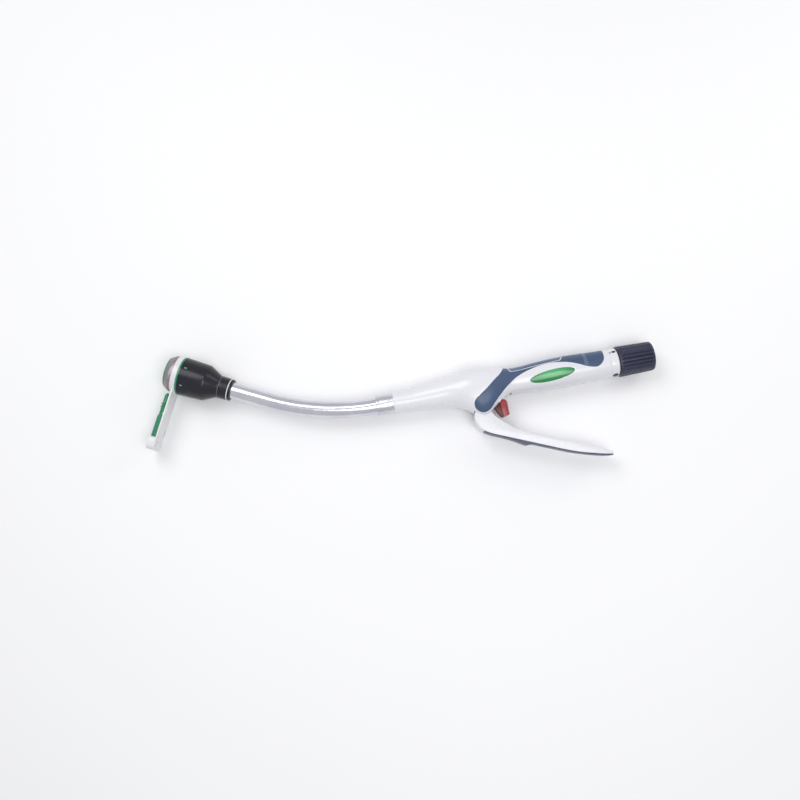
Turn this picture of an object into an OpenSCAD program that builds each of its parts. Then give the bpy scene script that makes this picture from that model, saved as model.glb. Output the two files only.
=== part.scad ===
// Circular surgical stapler, lying on its side: handle, bent shaft and stapling head
// X runs along the handle towards the knob, Y towards the back of the grip, Z up
// The origin is on the bench plane, in the middle of the flat flank under the lever pivot

/* [Head] */
// Outer diameter of the stapling head, the size class of the instrument
head_d = 33; // [31:0.5:34]
// Length of the round neck of the head
neck_l = 8.8; // [8:0.1:10]
// Length of the flaring part of the head
flare_l = 10.5; // [10:0.1:12]
// Length of the barrel that holds the staple cartridge
barrel_l = 21.2; // [21:0.1:23]
// Outer radius of the neck of the head
neck_r = 9.5; // [9:0.1:9.8]
// Wall of the head shell at its front
head_wall = 1.4; // [1.2:0.1:1.6]
// Thickness of the coloured flange ring of the cartridge
flange_t = 1.3; // [1:0.1:1.6]
// Thickness of the retaining cap between cartridge and anvil
cap_t = 4.7; // [4.4:0.1:5.2]
// Thickness of the metal anvil
anvil_t = 6.4; // [6:0.1:7.5]
// Staples in each of the two rows
row_count = 14; // [10:1:14]
// Length of one staple crown
staple_w = 3.4; // [3:0.1:3.6]
// Length of the staple legs
staple_leg = 4.8; // [4:0.1:5]
// Radius of the anvil shaft
stem_r = 4.2; // [4:0.1:4.3]
// Radius of the trocar
trocar_r = 3; // [2.6:0.1:3.2]

/* [Shaft] */
// Outer radius of the shaft tube
tube_r = 7; // [6.8:0.1:7.4]
// Wall of the shaft tube
tube_wall = 0.8; // [0.6:0.1:0.9]
// Straight length of the tube in front of the handle nose
rear_straight = 15; // [12:1:25]
// Bend radius of the shaft
bend_r = 200; // [160:5:260]
// Angle of the bend
bend_a = 26.5; // [15:0.5:35]
// Straight length of the shaft between the bend and the lock ring
front_straight = 32; // [26:1:45]
// Radius of the sleeve on the tube at the nose
sleeve_r = 8.2; // [8:0.1:8.8]

/* [Handle] */
// Length of the two shell halves
shell_l = 186; // [180:1:200]
// Largest radius of the round grip
grip_r = 13.3; // [13:0.1:14]
// Distance from the nose to the middle of the hump
hump_u = 75; // [73:1:76]
// Wall of the shell halves
wall = 2.2; // [2:0.1:2.4]
// Depth of the soft inlays in the shell
inlay_t = 1.1; // [0.8:0.1:1.3]
// Length of the indicator window
window_l = 44; // [42:1:46]
// Half width of the indicator window
window_half = 7; // [6.4:0.1:7.4]
// Half length of the badge plate
badge_half_l = 19.7; // [15:0.1:22]
// Half height of the badge plate
badge_half_h = 4.9; // [3.5:0.1:6]

/* [Knob] */
// Length of the knob
knob_l = 30.3; // [28:0.1:34]
// Radius of the knob at its front
knob_r = 13.2; // [12.6:0.1:14]
// Radius of the knob at its rear
knob_end_r = 12.4; // [12:0.1:13]
// Grooves around the knob
knob_grooves = 24; // [12:2:30]
// Length of the rear collar
collar_l = 7.7; // [7:0.1:9]
// Crest radius of the lead screw
screw_r = 3.5; // [3.2:0.1:3.7]
// Travel of the screw and of the anvil
travel = 24; // [16:1:24]

/* [Trigger] */
// Length of the firing lever, measured along the handle
lever_l = 102.5; // [90:0.5:112]
// Drop of the lever tip below its pivot
lever_drop = 60.5; // [54:0.5:64]
// Half width of the lever
lever_half = 8; // [7.6:0.1:8.2]
// Wall of the lever channel
lever_wall = 2; // [1.8:0.1:2.1]
// Distance of the pivot below the handle axis
pivot_drop = 16; // [15.8:0.1:16.4]
// Length of the firing stroke
stroke = 5.2; // [4.6:0.1:5.4]
// Length of the safety catch below its pin
safety_l = 14.3; // [12:0.1:14.6]
// Half width of the safety catch
safety_half = 5; // [4.4:0.1:5.2]

/* [Cap tab] */
// Length of the cap tab from the head axis
tab_l = 67; // [64:1:72]
// Width of the cap tab
tab_w = 20; // [16:1:22]
// Thickness of the cap tab
tab_t = 2.5; // [2:0.1:2.8]
// Radius of the spare trocar tip
tip_r = 2.9; // [2.5:0.1:3.2]
// Length of the spare trocar tip
tip_l = 38.5; // [34:0.5:39]

/* [Hidden] */
// Clearance of parts that slide or turn on each other
run_gap = 0.1;
// Clearance of parts that move past each other
free_gap = 0.3;
// Overrun of cuts past the faces they open
cut = 1;
$fn = 72;
hull_fn = 28;
tiny = 0.02;

// Where things are along the handle axis, from the nose
rear_l = shell_l - hump_u;
clamp_u = 0.4 * hump_u;
clamp_l = 3;
clamp_wall = 1.8;
rib_t = 2.5;
pivot_lead = 2;
pivot_u = hump_u - pivot_lead;
rod_tail = 17;
rod_rear_u = pivot_u + rod_tail;
safety_lag = 12;
safety_u = hump_u + safety_lag;
safety_drop = 15;
window_u = hump_u + 0.225 * rear_l;
guide_u = hump_u + 0.64 * rear_l;
pointer_l = 3;
pointer_stop = 10;
pointer_u = guide_u - pointer_stop;
screw_front_u = pointer_u - travel;
bearing_u = 8.5;

// Heights and radii that follow from the driving sizes
head_r = head_d / 2;
axis_h = head_r;
flank_half = head_r;
edge_half = 11.5;
tube_in_r = tube_r - tube_wall;
rod_r = tube_in_r - free_gap;
rod_in_r = stem_r + free_gap;
rod_rear_r = rod_in_r + 0.875 * tube_wall;
sleeve_out_r = 5.5;
pin_r = 2;
safety_pin_r = 1.5;
band_t = 1.2;
band_w = 5;
fork_r = 2.5;
fork_reach = 0.85 * pivot_drop;
fork_arm = 0.48 * fork_r;
pin_half = edge_half - 0.5 * wall;

// The straight part of the head axis starts where the bend ends
bend_end_u = -rear_straight - bend_r * sin(bend_a);
bend_end_v = bend_r * (1 - cos(bend_a));

// Places along the head axis, from the end of the bend
ring_l = 3;
ring_gap = 0.2;
end_gap = 2 * run_gap;
neck_t0 = front_straight + ring_l + ring_gap;
flare_t0 = neck_t0 + neck_l;
barrel_t0 = flare_t0 + flare_l;
flange_t0 = barrel_t0 + barrel_l;
face_t0 = flange_t0 + flange_t;
seat_gap = 0.15;
cap_t0 = face_t0 + seat_gap;
anvil_t0 = cap_t0 + cap_t + seat_gap;
anvil_t1 = anvil_t0 + anvil_t;
tube_t1 = neck_t0 + neck_l;

// Radii of the head
barrel_r = head_r - run_gap;
cart_r = barrel_r - head_wall;
row_gap = 1.6;
row_edge = 1.2;
cavity_step = 0.6;
cavity_r = cart_r - cavity_step;
row_outer_r = cart_r - row_edge;
row_inner_r = row_outer_r - row_gap;
slot_t = 0.9;
slot_end = 0.45;
slot_w = staple_w + 2 * slot_end;
cart_in_r = row_inner_r - slot_t;
knife_r = cart_in_r - free_gap;
knife_t = 0.4;
cart_l = 10;
cart_t0 = face_t0 - cart_l;
driver_r = cavity_r - free_gap;
driver_l = 5;
driver_t0 = cart_t0 - free_gap - stroke - driver_l;
finger_top = face_t0 - stroke - free_gap;

// Frames: along the handle, along the head and around the bend
module at_axis(u = 0) translate([u - hump_u, 0, axis_h]) children();

module along_handle(u = 0) at_axis(u) rotate([0, 90, 0]) children();

module at_pivot() at_axis(pivot_u) translate([0, -pivot_drop, 0]) children();

module at_safety() at_axis(safety_u) translate([0, -safety_drop, 0]) children();

module at_head(t = 0)
    at_axis(bend_end_u) translate([0, bend_end_v, 0])
        rotate([0, 0, 180 - bend_a]) translate([t, 0, 0]) children();

module along_head(t = 0) at_head(t) rotate([0, 90, 0]) children();

module around_bend()
    at_axis(-rear_straight) translate([0, bend_r, 0]) rotate([0, 0, 270 - bend_a])
        rotate_extrude(angle = bend_a) translate([bend_r, 0]) children();

// Repeated shapes
module pipe(r_out, r_in, l) {
    difference() {
        cylinder(r = r_out, h = l);
        translate([0, 0, -cut]) cylinder(r = r_in, h = l + 2 * cut);
    }
}

module slab(low, high) translate(low) cube(high - low);

module upright(r, low, high) translate([0, 0, low]) cylinder(r = r, h = high - low);

module half_space(up) {
    span = 2 * shell_l;
    translate([-shell_l, -shell_l, up ? 0 : -span]) cube([2 * span, span, span]);
}

// A smooth curve through the points of an outline
function blend_of(a, b, c, d, t) =
    (2 * b + (c - a) * t + (2 * a - 5 * b + 4 * c - d) * t * t + (3 * b - a - 3 * c + d) * t * t * t) / 2;

function smooth(p, steps) = concat(
    [for (i = [0 : len(p) - 2], s = [0 : steps - 1])
        blend_of(p[max(i - 1, 0)], p[i], p[i + 1], p[min(i + 2, len(p) - 1)], s / steps)],
    [p[len(p) - 1]]
);

// The round form of the handle, as shares of its length before and behind the hump and of the grip radius
end_share = 0.92;
front_shares = [[0, 0.7], [0.23, 0.745], [0.53, 0.9], [0.77, 0.995], [1, 1.09]];
rear_shares = [
    [0.14, 0.955], [0.23, 0.86], [0.34, 0.872], [0.45, 0.93], [0.57, 0.985], [0.68, 1], [0.83, 0.965],
    [1, end_share]
];
handle_line = smooth(concat(
    [for (s = front_shares) [s[0] * hump_u, s[1] * grip_r]],
    [for (s = rear_shares) [hump_u + s[0] * rear_l, s[1] * grip_r]]
), 3);

module handle_round(inset) {
    rear = inset > inlay_t ? cut : 0;
    profile = [for (p = handle_line) [p[1] - inset, max(p[0], inset)]];
    last = profile[len(profile) - 1];
    along_handle() rotate_extrude()
        polygon(concat([[0, inset]], profile, [[last[0], shell_l + rear], [0, shell_l + rear]]));
}

// The flat-sided hump around the lever pivot: centre and radius of each round, as shares of the grip radius
lobe_shares = [[0, 0.36, 0.9], [-0.19, -1.3, 0.64], [-1.13, -0.6, 0.53], [0.98, -0.6, 0.45]];
flank_shares = [[0, 0.19, 0.6], [-0.53, -0.6, 0.38], [0.53, -0.53, 0.38]];

module rod_across(r, half) cylinder(r = r, h = 2 * half, center = true, $fn = hull_fn);

module lobe(inset) {
    at_axis(hump_u) hull() {
        for (s = lobe_shares)
            translate([s[0], s[1], 0] * grip_r) rod_across(s[2] * grip_r - inset, edge_half - inset);
        for (s = flank_shares)
            translate([s[0], s[1], 0] * grip_r) rod_across(s[2] * grip_r, flank_half - inset);
    }
}

module handle_form(inset) {
    handle_round(inset);
    lobe(inset);
}

// Outline of the soft inlay: along the handle from the hump, as shares of the rear length, and across it, as
// shares of the grip radius
inlay_low_shares = [
    [-0.0695, -0.94], [-0.0647, -1.27], [-0.0467, -1.5], [-0.012, -1.64], [0.024, -1.6],
    [0.0719, -1.3], [0.1414, -0.74], [0.2336, -0.1], [0.3199, 0.32], [0.4026, 0.54], [0.4841, 0.68],
    [0.5632, 0.72], [0.6398, 0.67], [0.7141, 0.56], [0.7872, 0.31], [0.822, 0.16], [0.8735, 0],
    [0.919, -0.05], [0.9622, 0.1], [0.9825, 0.37], [0.9849, 0.62]
];
inlay_high_shares = [
    [0.9849, 1.5], [0.2037, 1.5], [0.1905, 0.8], [0.145, 0.49], [0.0815, 0.07], [0.0192, -0.29],
    [-0.0264, -0.55]
];

module inlay_prism(up) {
    outline = [for (s = concat(inlay_low_shares, inlay_high_shares)) [s[0] * rear_l, s[1] * grip_r]];
    at_axis(hump_u) translate([0, 0, up ? 0 : -2 * flank_half])
        linear_extrude(2 * flank_half) polygon(outline);
}

module window_prism(half, depth_v) {
    at_axis(window_u) slab([0, depth_v, -half], [window_l, 2 * grip_r, half]);
}

badge_u = hump_u + 0.567 * rear_l;
badge_v = -1.1;
badge_tilt = 4.5;
badge_t = 0.8;

module badge_prism(up) {
    steps = 48;
    outline = [for (i = [0 : steps - 1])
        [badge_half_l * cos(360 * i / steps), badge_half_h * sin(360 * i / steps)]];
    at_axis(badge_u) translate([0, badge_v, up ? 0 : -2 * grip_r]) rotate([0, 0, badge_tilt])
        linear_extrude(2 * grip_r) polygon(outline);
}

// Screws that hold the halves together: place behind the hump and height over the axis, as shares
screw_shares = [[0, 0.887], [0.333, -0.586], [0.757, -0.632]];
screw_shank_r = 1;
screw_head_r = 1.9;
screw_head_t = 1.4;
boss_r = 2.4;
screw_depth = 5;
screw_floor = 7.5;

module at_screws()
    for (s = screw_shares) at_axis(hump_u + s[0] * rear_l) translate([0, s[1] * grip_r, 0]) children();

// Slots in the underside for the lever and for the safety catch
side_gap = 0.4;
lever_slot_lead = 11.5;
lever_slot_l = 28.5;
lever_slot_half = lever_half + side_gap;
safety_slot_lead = 4.5;
safety_slot_l = 21.5;
safety_slot_half = safety_half + side_gap;
slot_top = -8.5;

module underside_slots() {
    at_axis(hump_u - lever_slot_lead)
        slab([0, -3 * grip_r, -lever_slot_half], [lever_slot_l, -grip_r * 0.92, lever_slot_half]);
    at_axis(safety_u - safety_slot_lead)
        slab([0, -3 * grip_r, -safety_slot_half], [safety_slot_l, slot_top, safety_slot_half]);
}

// Walls across the inside of the shell: a tube seat, two walls around the tube clamp, guides and a bearing
module inner_walls() {
    at_axis() slab([wall, -2 * grip_r, -2 * grip_r], [2 * wall, 2 * grip_r, 2 * grip_r]);
    for (u = [clamp_u - rib_t, clamp_u + clamp_l])
        at_axis(u) slab([0, -2 * grip_r, -2 * grip_r], [rib_t, 2 * grip_r, 2 * grip_r]);
    at_axis(safety_u - rib_t) slab([0, -tube_r, -2 * grip_r], [rib_t, 2 * grip_r, 2 * grip_r]);
    at_axis(window_u - rib_t) slab([0, -2 * grip_r, -2 * grip_r], [rib_t, 2 * grip_r, 2 * grip_r]);
    at_axis(guide_u) slab([0, -2 * grip_r, -2 * grip_r], [rib_t, 2 * grip_r, 2 * grip_r]);
    at_axis(shell_l - bearing_u) slab([0, -2 * grip_r, -2 * grip_r], [rib_t, 2 * grip_r, 2 * grip_r]);
}

// The way through those walls for the tube, the push rod, the lead screw and the knob sleeve
module inner_bores() {
    along_handle(-cut) cylinder(r = tube_r, h = clamp_u + clamp_l + cut);
    along_handle(clamp_u) cylinder(r = rod_r + run_gap, h = yoke_front_u - clamp_u);
    along_handle(pivot_u) cylinder(r = rod_rear_r + run_gap, h = rod_rear_u - pivot_u + free_gap);
    along_handle(rod_rear_u - cut) cylinder(r = screw_r + run_gap, h = shell_l - rod_rear_u);
    along_handle(shell_l - bearing_u - cut) cylinder(r = sleeve_out_r + run_gap, h = rib_t + 2 * cut);
}

// Bosses for the pins and the screws, as high as the flank so that they meet the wall wherever it is
module bosses() {
    at_pivot()
        for (side = [0, 1]) mirror([0, 0, side]) upright(2 * pin_r, lever_slot_half, flank_half);
    at_safety()
        for (side = [0, 1]) mirror([0, 0, side]) upright(1.8 * safety_pin_r, safety_slot_half, flank_half);
    at_screws() cylinder(r = boss_r, h = 2 * flank_half, center = true);
}

module pin_bores() {
    at_pivot() cylinder(r = pin_r, h = 2 * pin_half, center = true);
    at_safety() cylinder(r = safety_pin_r, h = 2 * pin_half, center = true);
}

module shell_half(up) {
    difference() {
        handle_form(0);
        difference() {
            handle_form(wall);
            inner_walls();
            bosses();
        }
        underside_slots();
        inner_bores();
        pin_bores();
        at_axis() half_space(!up);
        window_prism(window_half, 0);
        if (up) at_screws() translate([0, 0, -cut]) cylinder(r = screw_shank_r, h = screw_depth + cut);
        if (!up) at_screws() {
            translate([0, 0, -screw_floor - cut]) cylinder(r = screw_shank_r, h = screw_floor + 2 * cut);
            translate([0, 0, -2 * flank_half]) cylinder(r = screw_head_r, h = 2 * flank_half - screw_floor);
        }
        difference() {
            inlay_prism(up);
            handle_form(inlay_t);
        }
        difference() {
            badge_prism(up);
            handle_round(badge_t);
        }
    }
}

module handle_shell_upper() { color("#ECECF4") shell_half(true); }

module handle_shell_lower() { color("#E8E8F1") shell_half(false); }

module inlay(up) {
    difference() {
        intersection() {
            handle_form(0);
            inlay_prism(up);
        }
        handle_form(inlay_t);
        at_axis() half_space(!up);
        window_prism(window_half, 0);
    }
}

module grip_inlay_upper() { color("#4A6285") inlay(true); }

module grip_inlay_lower() { color("#455C7E") inlay(false); }

module badge(up) {
    difference() {
        intersection() {
            handle_round(0);
            badge_prism(up);
        }
        handle_round(badge_t);
    }
}

module badge_upper() { color("#1F9A57") badge(true); }

module badge_lower() { color("#1F9A57") badge(false); }

window_t = 1.6;

module indicator_window() {
    color("#B9C6D6") difference() {
        intersection() {
            handle_round(0);
            window_prism(window_half, 0);
        }
        handle_round(window_t);
    }
}

// Scale plate under the window, from wall to wall
scale_v = 5.6;
scale_t = 0.8;
scale_half = 3.6;
mark_pitch = 6;
mark_t = 0.8;
mark_h = 0.3;

module indicator_scale() {
    scale_l = guide_u - window_u;
    top = scale_v + scale_t;
    color("#F2F2F2") at_axis(window_u) difference() {
        slab([0, scale_v, -scale_half], [scale_l, top, scale_half]);
        for (x = [mark_pitch : mark_pitch : scale_l - mark_pitch])
            slab([x, top - mark_h, -scale_half / 2], [x + mark_t, top + cut, scale_half / 2]);
    }
}

// Pointer that rides on the lead screw and shows the gap at the head
screw_core_r = 2.8;
pointer_arm = 1;
flag_v = scale_v + scale_t + 2 * free_gap;
flag_t = 0.8;

module indicator_pointer() {
    arm_z = scale_half + free_gap;
    color("#E2762B") {
        along_handle(pointer_u) difference() {
            cylinder(r = arm_z + pointer_arm, h = pointer_l);
            translate([0, 0, -cut]) cylinder(r = screw_core_r, h = pointer_l + 2 * cut);
        }
        at_axis(pointer_u) {
            slab([0, 0, arm_z], [pointer_l, flag_v + flag_t, arm_z + pointer_arm]);
            slab([0, flag_v, -scale_half / 2], [pointer_l, flag_v + flag_t, arm_z + pointer_arm]);
        }
    }
}

// Rear collar: its spigot sits in the shells and its bore carries the knob sleeve
washer_t = 1.5;
sleeve_flange_t = 2.5;
bearing_end_u = shell_l - bearing_u + rib_t;
sleeve_flange_u = bearing_end_u + run_gap;
washer_u = sleeve_flange_u + sleeve_flange_t + run_gap;
spigot_u = washer_u + washer_t + run_gap;
collar_r = end_share * grip_r;
spigot_r = collar_r - wall - run_gap;
sleeve_flange_r = spigot_r - 3 * free_gap;

module rear_collar() {
    color("#EDEDF5") along_handle() difference() {
        union() {
            translate([0, 0, spigot_u]) cylinder(r = spigot_r, h = shell_l - spigot_u + tiny);
            translate([0, 0, shell_l]) cylinder(r = collar_r, h = collar_l - free_gap);
        }
        translate([0, 0, spigot_u - cut]) cylinder(r = sleeve_out_r + run_gap, h = shell_l + collar_l);
        turn_mark_places() translate([0, 0, collar_r - turn_mark_t]) cylinder(r = turn_mark_r, h = collar_r);
    }
}

turn_mark_r = 1.5;
turn_mark_t = 0.6;
turn_mark_count = 4;

// Dots around the collar, each with its axis pointing out of the collar
module turn_mark_places() {
    for (i = [0 : turn_mark_count - 1])
        rotate([0, 0, 45 + 360 * i / turn_mark_count])
            translate([0, 0, shell_l + 0.6 * collar_l]) rotate([0, 90, 0]) children();
}

module turn_marks() {
    color("#23232B") along_handle() turn_mark_places()
        translate([0, 0, collar_r - turn_mark_t]) cylinder(r = turn_mark_r, h = 0.8 * turn_mark_t);
}

module shell_screws() {
    color("#9A9CA0") at_screws() {
        translate([0, 0, -screw_floor - screw_head_t]) cylinder(r = screw_head_r, h = screw_head_t);
        translate([0, 0, -screw_floor]) cylinder(r = screw_shank_r, h = screw_floor + screw_depth);
    }
}

module thrust_washer() {
    color("#B8BABD") along_handle(washer_u) pipe(sleeve_flange_r, sleeve_out_r + run_gap, washer_t);
}

// Knob: a ribbed cup on a sleeve that carries the thread
knob_u = shell_l + collar_l;
knob_wall = 2.4;
hub_r = 8;
knob_web_t = 4;
knob_cap_t = 2;
groove_r = 0.9;
sleeve_lead = 1.5;
sleeve_rear_u = knob_u + knob_l - knob_web_t - knob_cap_t;

module knob() {
    inside_r = knob_end_r - knob_wall;
    web_u = knob_l - knob_web_t - knob_cap_t;
    color("#22243A") along_handle(knob_u) difference() {
        intersection() {
            cylinder(r1 = knob_r, r2 = knob_end_r, h = knob_l);
            linear_extrude(knob_l) difference() {
                circle(r = knob_r + cut);
                for (i = [0 : knob_grooves - 1]) rotate(360 * i / knob_grooves)
                    translate([knob_r, 0]) circle(r = groove_r);
            }
        }
        rotate_extrude() polygon([
            [0, -cut], [inside_r, -cut], [inside_r, web_u], [hub_r, web_u], [hub_r, run_gap],
            [sleeve_out_r, run_gap], [sleeve_out_r, web_u], [screw_r + free_gap, web_u],
            [screw_r + free_gap, knob_l - knob_cap_t], [inside_r, knob_l - knob_cap_t],
            [inside_r, knob_l + cut], [0, knob_l + cut]
        ]);
    }
}

module knob_cap() {
    color("#191A26") along_handle(knob_u + knob_l - knob_cap_t)
        cylinder(r = knob_end_r - knob_wall, h = knob_cap_t);
}

module knob_sleeve() {
    front_u = bearing_end_u - rib_t - sleeve_lead;
    bore_r = screw_r + 0.5 * run_gap;
    color("#C9B27A") along_handle() {
        translate([0, 0, front_u]) pipe(sleeve_out_r, bore_r, sleeve_rear_u - front_u);
        translate([0, 0, sleeve_flange_u]) pipe(sleeve_flange_r, bore_r, sleeve_flange_t);
    }
}

// Lead screw with its ridges and the slot for the tension band
screw_end_gap = 2;
screw_rear_u = sleeve_rear_u - screw_end_gap;
thread_lead = 8;
thread_u = guide_u + thread_lead;
thread_pitch = 2;
clevis_l = 5;

module lead_screw() {
    ridges = floor((screw_rear_u - thread_u) / thread_pitch);
    profile = concat(
        [[0, screw_front_u], [screw_r, screw_front_u], [screw_r, pointer_u], [screw_core_r, pointer_u],
            [screw_core_r, pointer_u + pointer_l], [screw_r, pointer_u + pointer_l], [screw_r, thread_u]],
        [for (i = [0 : ridges - 1], k = [0.25, 0.75])
            [k < 0.5 ? screw_core_r : screw_r, thread_u + (i + k) * thread_pitch]],
        [[screw_r, screw_rear_u], [0, screw_rear_u]]
    );
    color("#A9ABAF") difference() {
        along_handle() rotate_extrude() polygon(profile);
        at_axis(screw_front_u)
            slab([-cut, -band_t / 2, -screw_r - cut], [clevis_l, band_t / 2, screw_r + cut]);
    }
}

// Flat band that pulls the trocar round the bend
band_t1 = 22;
trocar_t0 = band_t1 - clevis_l;

module tension_band() {
    rear_u = screw_front_u + clevis_l;
    color("#B4B6BA") {
        at_axis() slab([-rear_straight - tiny, -band_t / 2, -band_w / 2], [rear_u, band_t / 2, band_w / 2]);
        around_bend() square([band_t, band_w], center = true);
        at_head() slab([-tiny, -band_t / 2, -band_w / 2], [band_t1 - free_gap, band_t / 2, band_w / 2]);
    }
}

// Side view of the lever from its pivot: place along it as a share of its length, and its lower and upper
// edge as shares of its drop
lever_shares = [
    [-0.073, -0.2, -0.1], [-0.04, -0.31, -0.06], [0.02, -0.397, -0.08], [0.08, -0.45, -0.127],
    [0.136, -0.49, -0.238], [0.222, -0.545, -0.372], [0.302, -0.608, -0.45], [0.361, -0.638, -0.493],
    [0.517, -0.754, -0.607], [0.673, -0.864, -0.712], [0.834, -0.945, -0.792], [0.909, -0.978, -0.871],
    [1, -1, -0.972]
];

module lever_side(low, high) {
    count = len(lever_shares);
    polygon(concat(
        [for (s = lever_shares) [s[0] * lever_l, s[1] * lever_drop + low]],
        [for (i = [count - 1 : -1 : 0])
            [lever_shares[i][0] * lever_l, lever_shares[i][2] * lever_drop + high]]
    ));
}

cheek_r = 2.4 * pin_r;
cheek_drop = 0.2 * lever_drop;

module lever_cheek() {
    circle(r = cheek_r);
    translate([-cheek_r, -cheek_drop]) square([2 * cheek_r, cheek_drop]);
    translate([-fork_arm, 0]) square([2 * fork_arm, fork_reach]);
    translate([0, fork_reach]) circle(r = fork_r);
}

module firing_lever() {
    color("#EEEEF6") at_pivot() difference() {
        union() {
            linear_extrude(2 * lever_half, center = true) lever_side(0, 0);
            linear_extrude(2 * lever_half, center = true) lever_cheek();
        }
        linear_extrude(2 * (lever_half - lever_wall), center = true) intersection() {
            lever_side(1.3 * lever_wall, 2 * lever_drop);
            translate([-lever_l, -lever_drop]) square([1.94 * lever_l, 3 * lever_drop]);
        }
        linear_extrude(2 * (lever_half - lever_wall), center = true)
            translate([-cheek_r - cut, -cheek_drop])
                square([2 * cheek_r + 2 * cut, 2 * fork_reach + cheek_drop]);
        cylinder(r = pin_r + 0.5 * run_gap, h = 3 * lever_half, center = true);
    }
}

// Soft pad along the underside of the lever, with a swell for the finger: place and depth as shares
pad_shares = [
    [0.02, 0.02], [0.08, 0.02], [0.136, 0.02], [0.222, 0.045], [0.302, 0.062], [0.361, 0.02], [0.517, 0.02],
    [0.673, 0.02], [0.834, 0.03], [0.909, 0.028], [1, 0.012]
];

module lever_pad() {
    last = len(pad_shares) - 1;
    first = len(lever_shares) - len(pad_shares);
    edge = [for (i = [0 : last]) [pad_shares[i][0] * lever_l, lever_shares[i + first][1] * lever_drop]];
    outline = concat(
        [for (i = [0 : last]) edge[i] - [0, pad_shares[i][1] * lever_drop]],
        [for (i = [last : -1 : 0]) edge[i]]
    );
    color("#3E5678") at_pivot() linear_extrude(2 * (lever_half - free_gap), center = true) polygon(outline);
}

module lever_pin() {
    color("#A8AAAE") at_pivot() cylinder(r = pin_r, h = 2 * pin_half, center = true);
}

// Safety catch, hanging down from its pin between the shell and the lever, as shares of its length
catch_shares = [[-0.2, -0.05], [-0.3, -0.36], [0.07, -1], [0.54, -0.9], [0.5, -0.14], [0.2, 0.12]];

module safety_catch() {
    color("#A8323A") at_safety() difference() {
        linear_extrude(2 * safety_half, center = true) {
            polygon([for (s = catch_shares) s * safety_l]);
            circle(r = 2.1 * safety_pin_r);
        }
        cylinder(r = safety_pin_r + 0.5 * run_gap, h = 3 * safety_half, center = true);
    }
}

module safety_pin() {
    color("#A8AAAE") at_safety() cylinder(r = safety_pin_r, h = 2 * pin_half, center = true);
}

// Push rod, its yoke and the spring that returns it
flange_out_r = 8.8;
yoke_flange = 3;
yoke_front_u = pivot_u - fork_r - free_gap - yoke_flange;
yoke_l = 2 * (fork_r + free_gap + yoke_flange);

module push_rod() {
    front_u = -rear_straight + end_gap;
    color("#D9D9DE") along_handle() rotate_extrude() polygon([
        [rod_in_r, front_u], [rod_r, front_u], [rod_r, yoke_front_u], [rod_rear_r, yoke_front_u],
        [rod_rear_r, rod_rear_u], [rod_in_r, rod_rear_u]
    ]);
}

module firing_yoke() {
    color("#3A3C44") along_handle(yoke_front_u) rotate_extrude() polygon([
        [rod_rear_r, 0], [flange_out_r, 0], [flange_out_r, yoke_flange], [rod_r - run_gap, yoke_flange],
        [rod_r - run_gap, yoke_l - yoke_flange], [flange_out_r, yoke_l - yoke_flange],
        [flange_out_r, yoke_l], [rod_rear_r, yoke_l]
    ]);
}

// One unbroken tube that winds round the push rod
spring_wire_r = 0.7;
spring_r = rod_r + free_gap + 2 * spring_wire_r;
spring_turns = 7;
spring_steps = 14;
spring_sides = 6;

module return_spring() {
    start_u = clamp_u + clamp_l + rib_t + spring_wire_r + tiny;
    end_u = yoke_front_u - spring_wire_r - tiny;
    rings = spring_turns * spring_steps;
    pitch = (end_u - start_u) / rings;
    slope = atan(pitch * spring_steps / (2 * PI * spring_r));
    points = [for (i = [0 : rings], k = [0 : spring_sides - 1])
        let (a = 360 * i / spring_steps, b = 360 * k / spring_sides)
        let (out = spring_wire_r * cos(b), side = spring_wire_r * sin(b))
        [(spring_r + out) * cos(a) + side * sin(slope) * sin(a),
            (spring_r + out) * sin(a) - side * sin(slope) * cos(a),
            pitch * i + side * cos(slope)]];
    walls = [for (i = [0 : rings - 1], k = [0 : spring_sides - 1])
        let (a = i * spring_sides + k, b = i * spring_sides + (k + 1) % spring_sides)
        each [[a, a + spring_sides, b], [b, a + spring_sides, b + spring_sides]]];
    ends = [for (k = [1 : spring_sides - 2]) each [[0, k, k + 1],
        [rings * spring_sides, rings * spring_sides + k + 1, rings * spring_sides + k]]];
    color("#8E9196") along_handle(start_u) polyhedron(points, concat(walls, ends));
}

module tube_clamp() {
    color("#8F9298") along_handle(clamp_u) pipe(tube_r + clamp_wall, tube_r, clamp_l);
}

// Shaft tube: round the bend and straight into the head, drawn from the centre of the bend
module shaft_tube() {
    color("#C9CBD1") at_axis(-rear_straight) translate([0, bend_r, 0]) rotate([0, 0, 270 - bend_a]) {
        rotate_extrude(angle = bend_a) translate([bend_r, 0]) difference() {
            circle(r = tube_r);
            circle(r = tube_in_r);
        }
        translate([bend_r, 0, 0]) rotate([90, 0, 0]) pipe(tube_r, tube_in_r, tube_t1);
    }
}

// Straight tube that joins the shaft to the handle, under the sleeve and through the nose
module socket_tube() {
    color("#BFC1C8") along_handle(-rear_straight) pipe(tube_r, tube_in_r, rear_straight + clamp_u + clamp_l);
}

module tube_sleeve() {
    color("#AFB1B8") along_handle(-rear_straight + free_gap)
        pipe(sleeve_r, tube_r, rear_straight - free_gap);
}

module flexible_pusher() {
    color("#E4E4EA") around_bend() difference() {
        circle(r = rod_r);
        circle(r = rod_in_r);
    }
}

module lock_ring() {
    color("#2C2B31") along_head(front_straight) pipe(neck_r - free_gap, tube_r, ring_l);
}

// Head shell: neck, flare and barrel, hollow behind the cartridge
flare_step = 1;

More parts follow.
